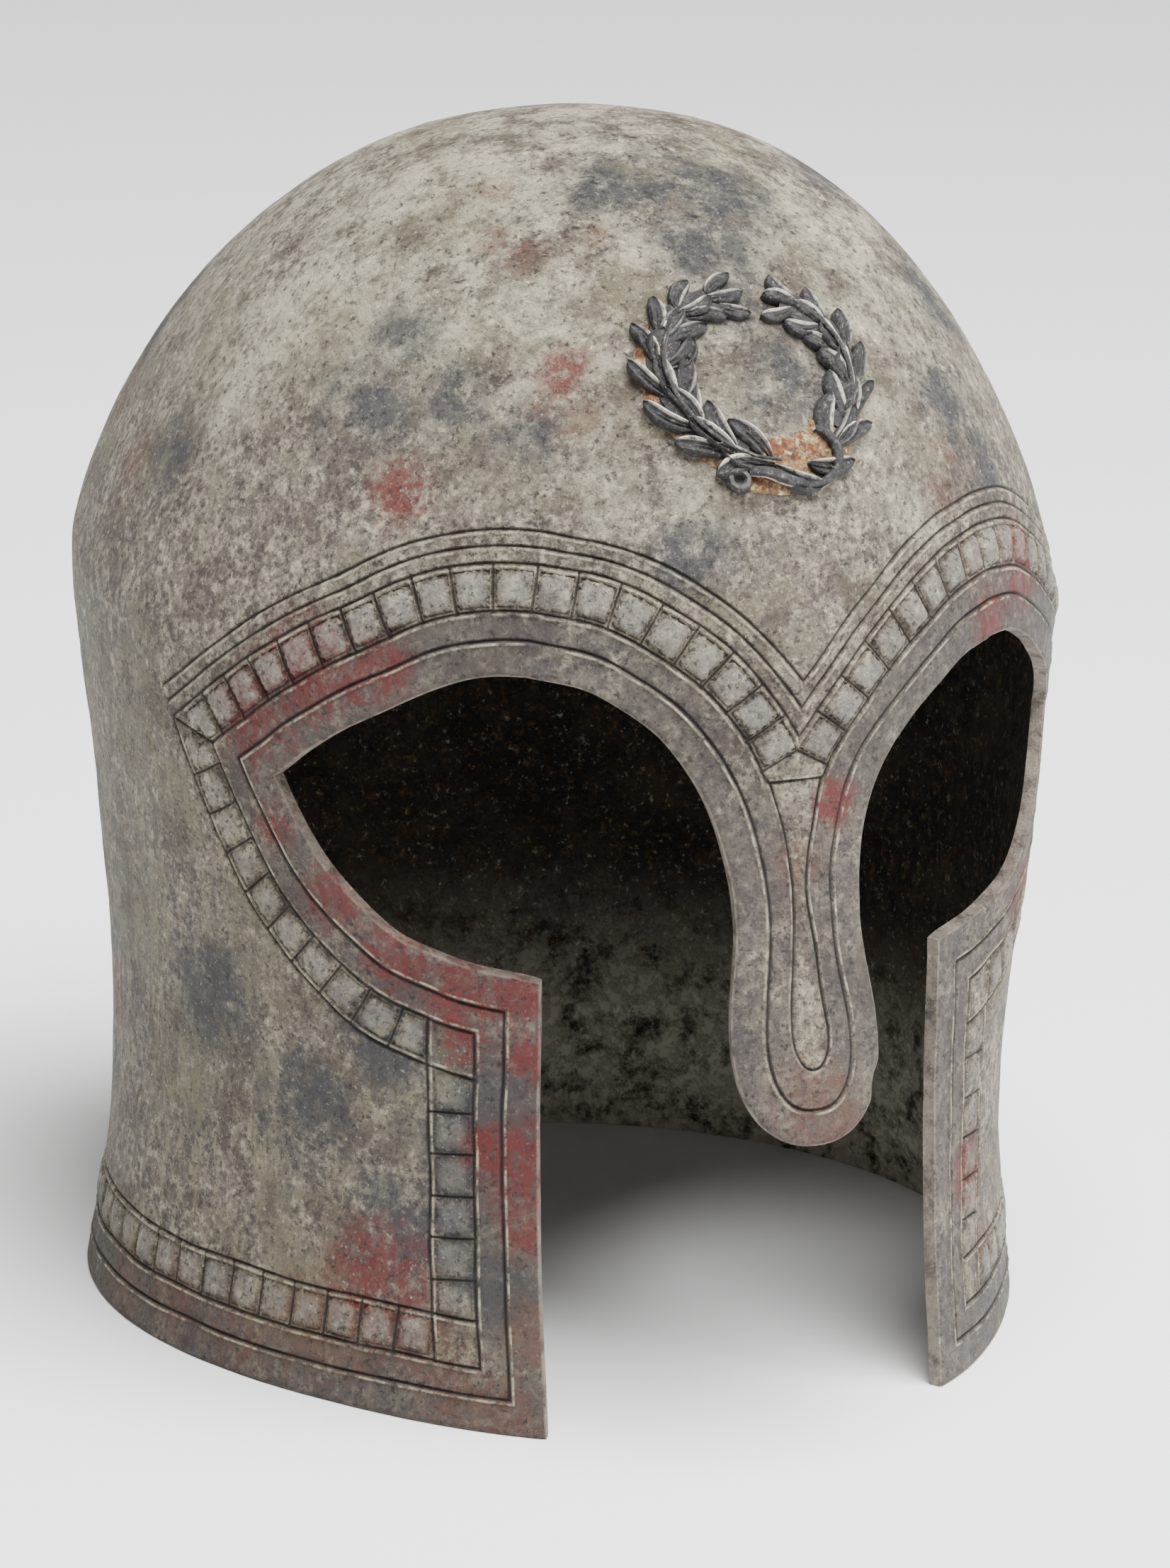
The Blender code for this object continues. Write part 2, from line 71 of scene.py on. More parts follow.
def smooth_curve(stops: Rows, values: Rows, at: Rows, end_slope: float | None = None) -> np.ndarray:
    """Read a smooth curve through the stops, by cubic Hermite pieces.

    Args:
        stops: where the curve's values are given, rising.
        values: the values there.
        at: where to read the curve.
        end_slope: the slope at the last stop, or None to take it from the values.

    Returns:
        The curve's values at the places asked for.
    """
    stops = np.asarray(stops, float)
    values = np.asarray(values, float)
    at = np.clip(np.asarray(at, float), stops[0], stops[-1])
    slopes = np.gradient(values, stops)
    if end_slope is not None:
        slopes[-1] = end_slope
    piece = np.clip(np.searchsorted(stops, at, side="right") - 1, 0, len(stops) - 2)
    width = stops[piece + 1] - stops[piece]
    share = (at - stops[piece]) / width
    squared, cubed = share**2, share**3
    return (
        values[piece] * (2 * cubed - 3 * squared + 1)
        + values[piece + 1] * (3 * squared - 2 * cubed)
        + slopes[piece] * width * (cubed - 2 * squared + share)
        + slopes[piece + 1] * width * (cubed - squared)
    )


def unit(rows: np.ndarray) -> np.ndarray:
    """Rows scaled to a length of 1."""
    return rows / np.maximum(np.linalg.norm(rows, axis=-1, keepdims=True), 1e-12)


def ripple(points: np.ndarray, size: float, seed: float = 0.0) -> np.ndarray:
    """Smooth noise between about -1 and 1 at each point, with waves of this size."""
    offset = Vector((seed, 2.3 * seed, 0.7 * seed))
    return np.array([noise.noise(Vector(point) / size + offset) for point in points])


class Ripples(NamedTuple):
    """Noise laid over a height: its middle, its swing, the length of its waves and its seed."""

    middle: float
    swing: float
    wave: float
    seed: float

    def at(self, points: np.ndarray) -> np.ndarray:
        """The noise's value at each point."""
        return self.middle + self.swing * ripple(points, self.wave, self.seed)


@dataclass
class Bowl:
    """The bronze's outer surface, as a sheet: along it from the middle of the face, and up it.

    The way up, climb, is the height as far as the brow, and above it about the length of the
    meridian, so that the sheet keeps its scale over the dome.
    """

    height: float = 0.2476
    half_width: float = 0.100
    front_reach: float = 0.1024
    back_reach: float = 0.126
    brow_height: float = 0.151
    cheek_top: float = 0.0925
    cheek_foot_forward: float = 0.004
    cheek_top_back: float = 0.013
    nasal_reach: float = 0.118
    front_power: float = 1.823
    back_power: float = 2.072
    section_height: tuple = (0.00, 0.17, 0.40, 0.67, 1.00)
    sections: dict = field(default_factory=lambda: {
        "side": (0.986, 0.947, 0.929, 0.955, 1.000),
        "front": (1.019, 0.994, 1.010, 1.067, 1.000),
        "back": (0.715, 0.705, 0.775, 0.885, 1.000),
    })
    dome: dict = field(default_factory=lambda: {
        "side": (1.306, 2.411),
        "front": (1.951, 1.922),
        "back": (1.600, 1.950),
    })
    nose_height: tuple = (0.20, 0.42, 0.50, 0.58, 0.66, 0.74, 0.83, 0.91, 1.00)
    nose_share: tuple = (1.02, 1.00, 0.87, 0.65, 0.41, 0.22, 0.00, -0.11, -0.09)
    nose_fade: tuple = (math.radians(12), math.radians(27))
    nose_top: tuple = (0.92, 1.09)
    cheek_fade: tuple = (math.radians(32), math.radians(62))
    cheek_curve: float = 1.6
    scale_height: float = 0.66
    shift: float = 0.0

    def __post_init__(self) -> None:
        """Work out the sheet's scale from the section at the height of the eyes."""
        self.turns = np.linspace(0.0, math.pi, 1441)
        line = self.at_height(self.turns, np.full(1441, self.scale_height * self.brow_height))
        steps = np.linalg.norm(np.diff(line, axis=0), axis=1)
        self.lengths = np.concatenate([[0.0], np.cumsum(steps)])
        self.half_length = float(self.lengths[-1])
        self.dome_length = (self.height - self.brow_height) * math.pi / 2.0
        self.climb = self.brow_height + self.dome_length

    def reach(self, way: str, full: float, up: np.ndarray) -> np.ndarray:
        """How far the bowl reaches from its axis.

        Args:
            way: side, front or back.
            full: the reach at the brow.
            up: the heights.

        Returns:
            The reach at each height.
        """
        skirt = smooth_curve(self.section_height, self.sections[way], up / self.brow_height, 0.0)
        share = np.clip((up - self.brow_height) / (self.height - self.brow_height), 0.0, 1.0)
        climb_power, reach_power = self.dome[way]
        above = (1.0 - share**climb_power) ** (1.0 / reach_power)
        return full * np.where(up > self.brow_height, above, skirt)

    def face_reach(self, angle: np.ndarray, up: np.ndarray) -> np.ndarray:
        """How far the front reaches, with the nasal's line and the cheek pieces' lean.

        Args:
            angle: the turn from the face's middle.
            up: the heights.

        Returns:
            The reach at each place.
        """
        plain = self.reach("front", self.front_reach, up)
        turn = np.abs(angle)
        shares = smooth_curve(self.nose_height, self.nose_share, up / self.brow_height)
        nose_line = self.front_reach + (self.nasal_reach - self.front_reach) * shares
        nose = 1.0 - smooth_step(turn, *self.nose_fade)
        nose = nose * (1.0 - smooth_step(up / self.brow_height, *self.nose_top))
        climb = np.clip(up / self.cheek_top, 0.0, 1.0) ** self.cheek_curve
        lean = (self.cheek_foot_forward + self.cheek_top_back) * climb - self.cheek_foot_forward
        lean = lean * (1.0 - smooth_step(up, self.cheek_top, self.brow_height))
        cheek = smooth_step(turn, *self.nose_fade) * (1.0 - smooth_step(turn, *self.cheek_fade))
        return plain + nose * (nose_line - plain) - cheek * lean

    def at_height(self, angle: np.ndarray, up: np.ndarray) -> np.ndarray:
        """Points of the surface.

        Args:
            angle: the turns from the face's middle.
            up: the heights.

        Returns:
            The points.
        """
        across, along = np.sin(angle), np.cos(angle)
        front = along > 0.0
        power = 2.0 / np.where(front, self.front_power, self.back_power)
        x = self.reach("side", self.half_width, up) * np.sign(across) * np.abs(across) ** power
        depth = np.abs(along) ** power
        back = self.reach("back", self.back_reach, up) * depth
        y = np.where(front, -self.face_reach(angle, up) * depth, back) + self.shift
        return np.stack([x, y, up], axis=-1)

    def place(self, sheet: np.ndarray) -> np.ndarray:
        """Points of the surface for places on the sheet.

        Args:
            sheet: rows of (along, climb).

        Returns:
            The points.
        """
        along, climb = sheet[..., 0], sheet[..., 1]
        angle = np.sign(along) * np.interp(np.abs(along), self.lengths, self.turns)
        share = np.clip((climb - self.brow_height) / self.dome_length, 0.0, 1.0)
        above = self.brow_height + (self.height - self.brow_height) * np.sin(share * math.pi / 2)
        return self.at_height(angle, np.where(climb > self.brow_height, above, climb))

    def slopes(self, sheet: np.ndarray) -> tuple[np.ndarray, np.ndarray]:
        """How the surface's point moves with each of the sheet's two directions.

        Args:
            sheet: rows of (along, climb).

        Returns:
            The move with along and the move with climb, for each row.
        """
        small = 0.3 * MM
        right, up = np.array([small, 0.0]), np.array([0.0, small])
        along = (self.place(sheet + right) - self.place(sheet - right)) / (2 * small)
        climb = (self.place(sheet + up) - self.place(sheet - up)) / (2 * small)
        return along, climb

    def normals(self, sheet: np.ndarray) -> np.ndarray:
        """Outward unit normals of the surface.

        Args:
            sheet: rows of (along, climb).

        Returns:
            The normals.
        """
        found = unit(np.cross(*self.slopes(sheet)))
        found[sheet[..., 1] > self.climb - 1e-6] = (0.0, 0.0, 1.0)
        return found

    def from_front(self, across: np.ndarray, up: np.ndarray) -> np.ndarray:
        """The sheet's places for places on the front half.

        Args:
            across: how far each lies from the middle plane.
            up: its height.

        Returns:
            Rows of (along, climb).
        """
        share = np.clip(np.abs(across) / self.reach("side", self.half_width, up), 0.0, 1.0)
        angle = np.arcsin(share ** (self.front_power / 2.0))
        share = np.clip((up - self.brow_height) / (self.height - self.brow_height), 0.0, 1.0)
        above = self.brow_height + self.dome_length * np.arcsin(share) * 2.0 / math.pi
        climb = np.where(up > self.brow_height, above, up)
        return np.stack([np.sign(across) * np.interp(angle, self.turns, self.lengths), climb], -1)

    def shifted(self, lines: np.ndarray, distances: list[float]) -> list[np.ndarray]:
        """Walk along the surface, square to a line and to its right.

        Args:
            lines: the line, as rows of (along, climb).
            distances: how far to walk, rising from 0 or falling from it.

        Returns:
            For each distance, the line's rows after the walk.
        """
        along, climb = self.slopes(lines)
        run = unit(np.gradient(self.place(lines), axis=0))
        heading = np.cross(run, unit(np.cross(along, climb)))
        places, found, walked = lines.copy(), [], 0.0
        for distance in distances:
            pieces = max(1, math.ceil(abs(distance - walked) / (3 * MM)))
            for _ in range(pieces):
                along, climb = self.slopes(places)
                level = unit(np.cross(along, climb))
                heading = unit(heading - level * (heading * level).sum(-1, keepdims=True))
                aa, ac = (along * along).sum(-1), (along * climb).sum(-1)
                cc = (climb * climb).sum(-1)
                ah, ch = (along * heading).sum(-1), (climb * heading).sum(-1)
                spread = aa * cc - ac * ac
                move = np.stack([(cc * ah - ac * ch) / spread, (aa * ch - ac * ah) / spread], -1)
                places = places + move * (distance - walked) / pieces
            walked = distance
            found.append(places.copy())
        return found


@dataclass
class FaceOpening:
    """The edge of the bronze on the +X side: rim, cheek piece's front, lower eye and arch."""

    bowl: Bowl
    cheek_across: float = 0.0448
    cheek_top: float = 0.0925
    eye_corner: tuple = (0.0873, 0.1284)
    arch_top: tuple = (0.052, 0.157)
    waist: tuple = (0.0138, 0.109)
    bulb: tuple = (0.0163, 0.086)
    nasal_tip_up: float = 0.0656
    nasal_end_power: float = 2.3
    lower_eye: dict = field(default_factory=lambda: {
        "across": (0.00, 0.26, 0.43, 0.58, 0.71, 0.84, 0.93, 1.00),
        "up": (0.00, 0.05, 0.12, 0.20, 0.34, 0.54, 0.76, 1.00),
    })
    outer_arch: dict = field(default_factory=lambda: {
        "across": (0.00, 0.10, 0.23, 0.40, 0.56, 0.72, 0.86, 1.00),
        "up": (0.00, 0.23, 0.44, 0.64, 0.81, 0.93, 0.985, 1.00),
    })
    inner_arch: dict = field(default_factory=lambda: {
        "across": (0.00, 0.24, 0.41, 0.59, 0.72, 0.825, 0.90, 0.955, 0.99, 1.00),
        "up": (0.00, 0.03, 0.10, 0.205, 0.32, 0.44, 0.56, 0.70, 0.85, 1.00),
    })
    step: float = 1.3 * MM

    def run(self, shares: dict, start: tuple, end: tuple) -> np.ndarray:
        """A smooth run of the edge between two of its named points.

        Args:
            shares: its course across and up, as shares of the way.
            start: its first point.
            end: its last one.

        Returns:
            Rows of (across, up).
        """
        stops = np.linspace(0.0, 1.0, len(shares["across"]))
        at = np.linspace(0.0, 1.0, max(4, round(1.1 * math.dist(start, end) / self.step)) + 1)
        across = start[0] + (end[0] - start[0]) * smooth_curve(stops, shares["across"], at)
        up = start[1] + (end[1] - start[1]) * smooth_curve(stops, shares["up"], at)
        return np.stack([across, up], axis=-1)

    def nasal(self) -> np.ndarray:
        """The nasal's edge from its waist over its bulb to its tip.

        Returns:
            Rows of (across, up).
        """
        at = np.linspace(0.0, 1.0, round((self.waist[1] - self.bulb[1]) / self.step) + 1)
        across = self.waist[0] + (self.bulb[0] - self.waist[0]) * smooth_step(at, 0.0, 1.0)
        flare = np.stack([across, self.waist[1] + (self.bulb[1] - self.waist[1]) * at], axis=-1)
        drop = self.bulb[1] - self.nasal_tip_up
        turn = np.linspace(0.0, math.pi / 2, round(1.4 * drop / self.step) + 1)[1:]
        power = 2.0 / self.nasal_end_power
        across = self.bulb[0] * np.maximum(np.cos(turn), 0.0) ** power
        across[-1] = 0.0
        end = np.stack([across, self.bulb[1] - drop * np.sin(turn) ** power], axis=-1)
        return np.concatenate([flare, end])

    def parts(self) -> dict[str, np.ndarray]:
        """The edge's parts, each with the bronze on its right.

        Returns:
            Rows of (along, climb), by name.
        """
        top = (self.cheek_across, self.cheek_top)
        heights = np.linspace(0.0, self.cheek_top, round(self.cheek_top / self.step) + 1)
        front = np.stack([np.full_like(heights, self.cheek_across), heights], axis=-1)
        arch = np.concatenate([
            self.run(self.outer_arch, self.eye_corner, self.arch_top),
            self.run(self.inner_arch, self.arch_top, self.waist)[1:],
            self.nasal()[1:],
        ])
        eye = self.run(self.lower_eye, top, self.eye_corner)
        made = {
            name: self.bowl.from_front(rows[:, 0], rows[:, 1])
            for name, rows in (("front", front), ("eye", eye), ("arch", arch))
        }
        foot = made["front"][0][0]
        count = round((self.bowl.half_length - foot) / self.step) + 1
        along = np.linspace(self.bowl.half_length, foot, count)
        made["rim"] = np.stack([along, np.zeros(count)], axis=-1)
        return made


def crossing(first: np.ndarray, second: np.ndarray) -> tuple[int, int, np.ndarray] | None:
    """Find where two open lines cross.

    Args:
        first: one line, as rows of two numbers.
        second: the other one.

    Returns:
        The index of the crossed piece in each line and the place, or None where they don't cross.
    """
    start, run = first[:-1, None], np.diff(first, axis=0)[:, None]
    other, way = second[None, :-1], np.diff(second, axis=0)[None]
    spread = run[..., 0] * way[..., 1] - run[..., 1] * way[..., 0]
    spread = np.where(np.abs(spread) < 1e-15, 1e-15, spread)
    gap = other - start
    at_first = (gap[..., 0] * way[..., 1] - gap[..., 1] * way[..., 0]) / spread
    at_second = (gap[..., 0] * run[..., 1] - gap[..., 1] * run[..., 0]) / spread
    hits = (at_first >= 0) & (at_first <= 1) & (at_second >= 0) & (at_second <= 1)
    if not hits.any():
        return None
    row, column = (int(index[0]) for index in np.nonzero(hits))
    return row, column, first[row] + at_first[row, column] * (first[row + 1] - first[row])


class Mark(Enum):
    """What a line drawn on the bronze is for."""

    PLAIN = 0
    GROOVE = 1
    BURR = 2


@dataclass
class Border:
    """The engraved lines and the row of squares that run round every edge of the bronze."""

    bowl: Bowl
    opening: FaceOpening
    parts_in_order: tuple = ("rim", "front", "eye", "arch")
    lines: tuple = (7.0 * MM, 12.8 * MM, 22.3 * MM)
    arch_lines: tuple = (25.6 * MM, 28.8 * MM)
    plain_offsets: tuple = (-1.0 * MM, -0.15 * MM, 0.75 * MM)
    burr_offset: float = -0.55 * MM
    groove_offset: float = 0.28 * MM
    nasal_offsets: tuple = (
        (-0.45 * MM, Mark.PLAIN), (0.0, Mark.GROOVE), (0.45 * MM, Mark.BURR), (0.9 * MM, Mark.PLAIN),
    )
    line_reach: float = 0.46 * MM
    line_depth: float = 0.50 * MM
    burr_height: float = 0.26 * MM
    bar_half_width: float = 0.5 * MM
    square_pitch: float = 8.1 * MM
    pillow_places: tuple = (-1.0, -0.78, -0.42, 0.0, 0.42, 0.78, 1.0)
    pillow_reach: tuple = (0.84, 0.38)
    pillow_round: float = 0.7
    pillow_swell: dict = field(default_factory=lambda: {"rim": 0.7, "front": 0.5, "eye": 0.7, "arch": 1.0})
    moat_depth: float = 0.35
    bevel: float = 0.5 * MM
    extension: float = 36 * MM
    bridge: tuple = (5.6 * MM, 136.4 * MM)
    drop_across: tuple = (5.6, 3.9, 2.3, 1.55, 1.5, 2.0, 2.9, 3.8, 4.0, 3.5, 2.0, 0.0)
    drop_up: tuple = (136.4, 130.0, 122.5, 117.0, 113.0, 107.0, 99.0, 91.0, 87.0, 83.8, 81.2, 80.4)

    def __post_init__(self) -> None:
        """Walk in from every part of the edge, by each distance that a line needs."""
        self.parts = self.opening.parts()
        self.middle = (self.lines[1] + self.lines[2]) / 2
        wanted = {0.0, self.bevel, self.middle}
        for level in (*self.lines, *self.arch_lines):
            wanted |= {level} | {level + offset for offset, _ in self.offsets()}
        self.distances = sorted(wanted)
        self.walks = {}
        for name, rows in self.parts.items():
            walked = self.bowl.shifted(self.extended(name, rows), self.distances)
            self.walks[name] = dict(zip(self.distances, walked))

    def offsets(self) -> list[tuple[float, Mark]]:
        """The places beside an engraved line's middle where its section turns."""
        made = [(offset, Mark.PLAIN) for offset in self.plain_offsets]
        return [*made, (self.burr_offset, Mark.BURR), (self.groove_offset, Mark.GROOVE)]

    def extended(self, name: str, rows: np.ndarray) -> np.ndarray:
        """A part of the edge, run on past the eye's outer corner so that its lines meet there.

        Args:
            name: the part.
            rows: its rows.

        Returns:
            The longer rows.
        """
        reach = np.arange(1, round(self.extension / self.opening.step))[:, None]
        if name == "eye":
            return np.concatenate([rows, rows[-1] + reach * (rows[-1] - rows[-2])])
        if name == "arch":
            return np.concatenate([rows[0] + reach[::-1] * (rows[0] - rows[1]), rows])
        return rows

    def cut(self, name: str, distance: float, start: np.ndarray | None = None,
            end: np.ndarray | None = None) -> np.ndarray:
        """One part's line at a distance, cut to where other lines cross it.

        Args:
            name: the part.
            distance: how far in from the edge the line runs.
            start: the line that it starts from, or None to keep its own start.
            end: the line that it ends at, or None.

        Returns:
            The rows of the line.
        """
        rows = self.walks[name][distance]
        if end is not None:
            found = crossing(rows, end)
            if found:
                rows = np.concatenate([rows[: found[0] + 1], found[2][None]])
        if start is not None:
            found = crossing(rows[::-1], start)
            if found:
                first = len(rows) - 1 - found[0]
                rows = np.concatenate([found[2][None], rows[first:]])
        return rows

    def middle_plane(self) -> np.ndarray:
        """The middle plane of the face, as a line on the sheet."""
        return np.array([[0.0, -0.01], [0.0, self.bowl.climb]])

    def drop(self) -> np.ndarray:
        """The +X half of the long drop engraved on the nasal, from the bridge line to its foot.

        Returns:
            Rows of (along, climb).
        """
        stops = np.linspace(0.0, 1.0, len(self.drop_up))
        at = np.linspace(0.0, 1.0, 64)
        across = smooth_curve(stops, self.drop_across, at) * MM
        up = smooth_curve(stops, self.drop_up, at, end_slope=0.0) * MM
        across[-1] = 0.0
        return self.bowl.from_front(across, up)

    def chain(self, distance: float) -> list[np.ndarray]:
        """The whole line at a distance, part by part, mitred at the corners.

        Args:
            distance: how far in from the edge it runs.

        Returns:
            The rows of each part.
        """
        rim, front, eye, arch = (self.walks[name][distance] for name in self.parts_in_order)
        return [
            self.cut("rim", distance, end=front),
            self.cut("front", distance, start=rim, end=eye),
            self.cut("eye", distance, start=front, end=arch),
            self.cut("arch", distance, start=eye),
        ]

    def grooves(self) -> list[tuple[np.ndarray, Mark]]:
        """Every line of the +X half: its sides, its burr and its groove.

        Returns:
            A list of (rows, mark).
        """
        made = []
        first, second, third = self.lines
        plane = self.middle_plane()
        bridge = np.array([[-0.01, self.bridge[1]], [0.03, self.bridge[1]]])
        limits = {name: self.walks[name][second] for name in ("rim", "front", "eye")}
        for shift, mark in self.offsets():
            runs = self.chain(first + shift)
            inner = self.chain(second + shift)
            inner[3] = self.cut("arch", second + shift, self.walks["eye"][second + shift], bridge)
            deep = third + shift
            runs += [
                *inner,
                self.cut("rim", deep, end=limits["front"]),
                self.cut("front", deep, limits["rim"], limits["eye"]),
                self.cut("eye", deep, limits["front"], self.walks["arch"][deep]),
                self.cut("arch", deep, self.walks["eye"][deep], plane),
            ]
            for level in self.arch_lines:
                runs.append(self.cut("arch", level + shift, self.walks["eye"][third], plane))
            made += [(rows, mark) for rows in runs]
        eye, arch = self.walks["eye"], self.walks["arch"]
        corner = [crossing(eye[level], arch[level])[2] for level in (second, third)]
        return made + self.nasal_lines() + self.bar(*corner)

    def nasal_lines(self) -> list[tuple[np.ndarray, Mark]]:
        """The drop on the nasal and the bridge line across its top, with their burrs and sides.

        Returns:
            A list of (rows, mark).
        """
        made = []
        drop = self.drop()
        across = np.linspace(0.0, self.bridge[0], 6)
        for shift, mark in self.nasal_offsets:
            rows = drop if shift == 0.0 else self.bowl.shifted(drop, [-shift])[0]
            made.append((rows[rows[:, 0] >= 0.0], mark))
            up = np.full(len(across), self.bridge[1] + shift)
            made.append((self.bowl.from_front(across, up), mark))
        return made

    def bar(self, low: np.ndarray, high: np.ndarray) -> list[tuple[np.ndarray, Mark]]:
        """A short groove with its sides.

        Args:
            low: its inner end.
            high: its outer end.

        Returns:
            A list of (rows, mark).
        """
        run = unit((high - low)[None])[0]
        beside = np.array([run[1], -run[0]]) * self.bar_half_width
        share = np.linspace(0.0, 1.0, 9)[:, None]
        middle = low * (1 - share) + high * share
        return [(middle - beside, Mark.PLAIN), (middle, Mark.GROOVE), (middle + beside, Mark.PLAIN)]

    def squares(self) -> tuple[list[tuple[np.ndarray, Mark]], list[tuple[np.ndarray, np.ndarray]]]:
        """The row of squares.

        Returns:
            The grooves between them as (rows, mark), and (rows, heights) of each square's pillow.
        """
        lines, pillows = [], []
        second, third = self.lines[1], self.lines[2]
        ends = {
            "rim": (None, self.walks["front"][third]),
            "front": (self.walks["rim"][third], self.walks["eye"][third]),
            "eye": (self.walks["front"][third], self.walks["arch"][self.middle]),
            "arch": (self.walks["eye"][self.middle], self.middle_plane()),
        }
        for name, (start, end) in ends.items():
            whole = self.walks[name][self.middle]
            kept = self.cut(name, self.middle, start, end)
            lengths = np.linalg.norm(np.diff(self.bowl.place(whole), axis=0), axis=1)
            arc = np.concatenate([[0.0], np.cumsum(lengths)])
            low, high = (
                arc[int(np.argmin(np.linalg.norm(whole - row, axis=1)))] for row in (kept[0], kept[-1])
            )
            marks = np.linspace(low, high, max(1, round((high - low) / self.square_pitch)) + 1)
            sides = [self.walks[name][level] for level in (second, third)]

            def across(at: float, share: float) -> np.ndarray:
                """A place on the band.

                Args:
                    at: the arc length along the row.
                    share: the share of the way over the band.

                Returns:
                    The place, as (along, climb).
                """
                index = np.interp(at, arc, np.arange(len(arc)))
                base = min(int(index), len(arc) - 2)
                part = index - base
                rows = [line[base] * (1 - part) + line[base + 1] * part for line in sides]
                return rows[0] * (1 - share) + rows[1] * share

            for mark in marks[1:-1]:
                lines += self.bar(across(mark, 0.0), across(mark, 1.0))
            # The arch's last square would cross the middle of the face below the bridge line
            filled = marks[:-1] if name == "arch" else marks
            for before, after in zip(filled[:-1], filled[1:]):
                pillows.append(self.pillow(across, before, after, self.pillow_swell[name]))
        return lines, pillows

    def pillow(self, across: Callable, before: float, after: float, swell: float) -> tuple:
        """The swollen middle of one square, with a shallow moat round it.

        Args:
            across: gives the place at an arc length and a share of the way over the band.
            before: the arc length at which the square starts.
            after: the one at which it ends.
            swell: how much it swells.

        Returns:
            Rows of (along, climb), and the height of each as a share.
        """
        rows, heights = [], []
        along_reach, over_reach = self.pillow_reach
        for beside in self.pillow_places:
            for over in self.pillow_places:
                at = (before + after) / 2 + beside * along_reach * (after - before) / 2
                rows.append(across(at, 0.5 + over_reach * over))
                moat = max(abs(beside), abs(over)) > 0.99
                swollen = (1 - self.pillow_round * beside**4) * (1 - self.pillow_round * over**4)
                heights.append((-self.moat_depth if moat else swollen) * swell)
        return np.array(rows), np.array(heights)


class Stain(Enum):
    """The kinds of patch on the patina."""

    RED = "red"
    RUST = "rust"
    SLATE_AND_SHADE = "slate"
    # Slate patches; those low on the left cheek are painted shade.
    CREAM = "cream"
    OLIVE = "olive"


class Patch(NamedTuple):
    """Where a patch lies on the bronze, in millimetres in the row frame, and how far it spreads."""

    x: float
    y: float
    z: float
    spread: float


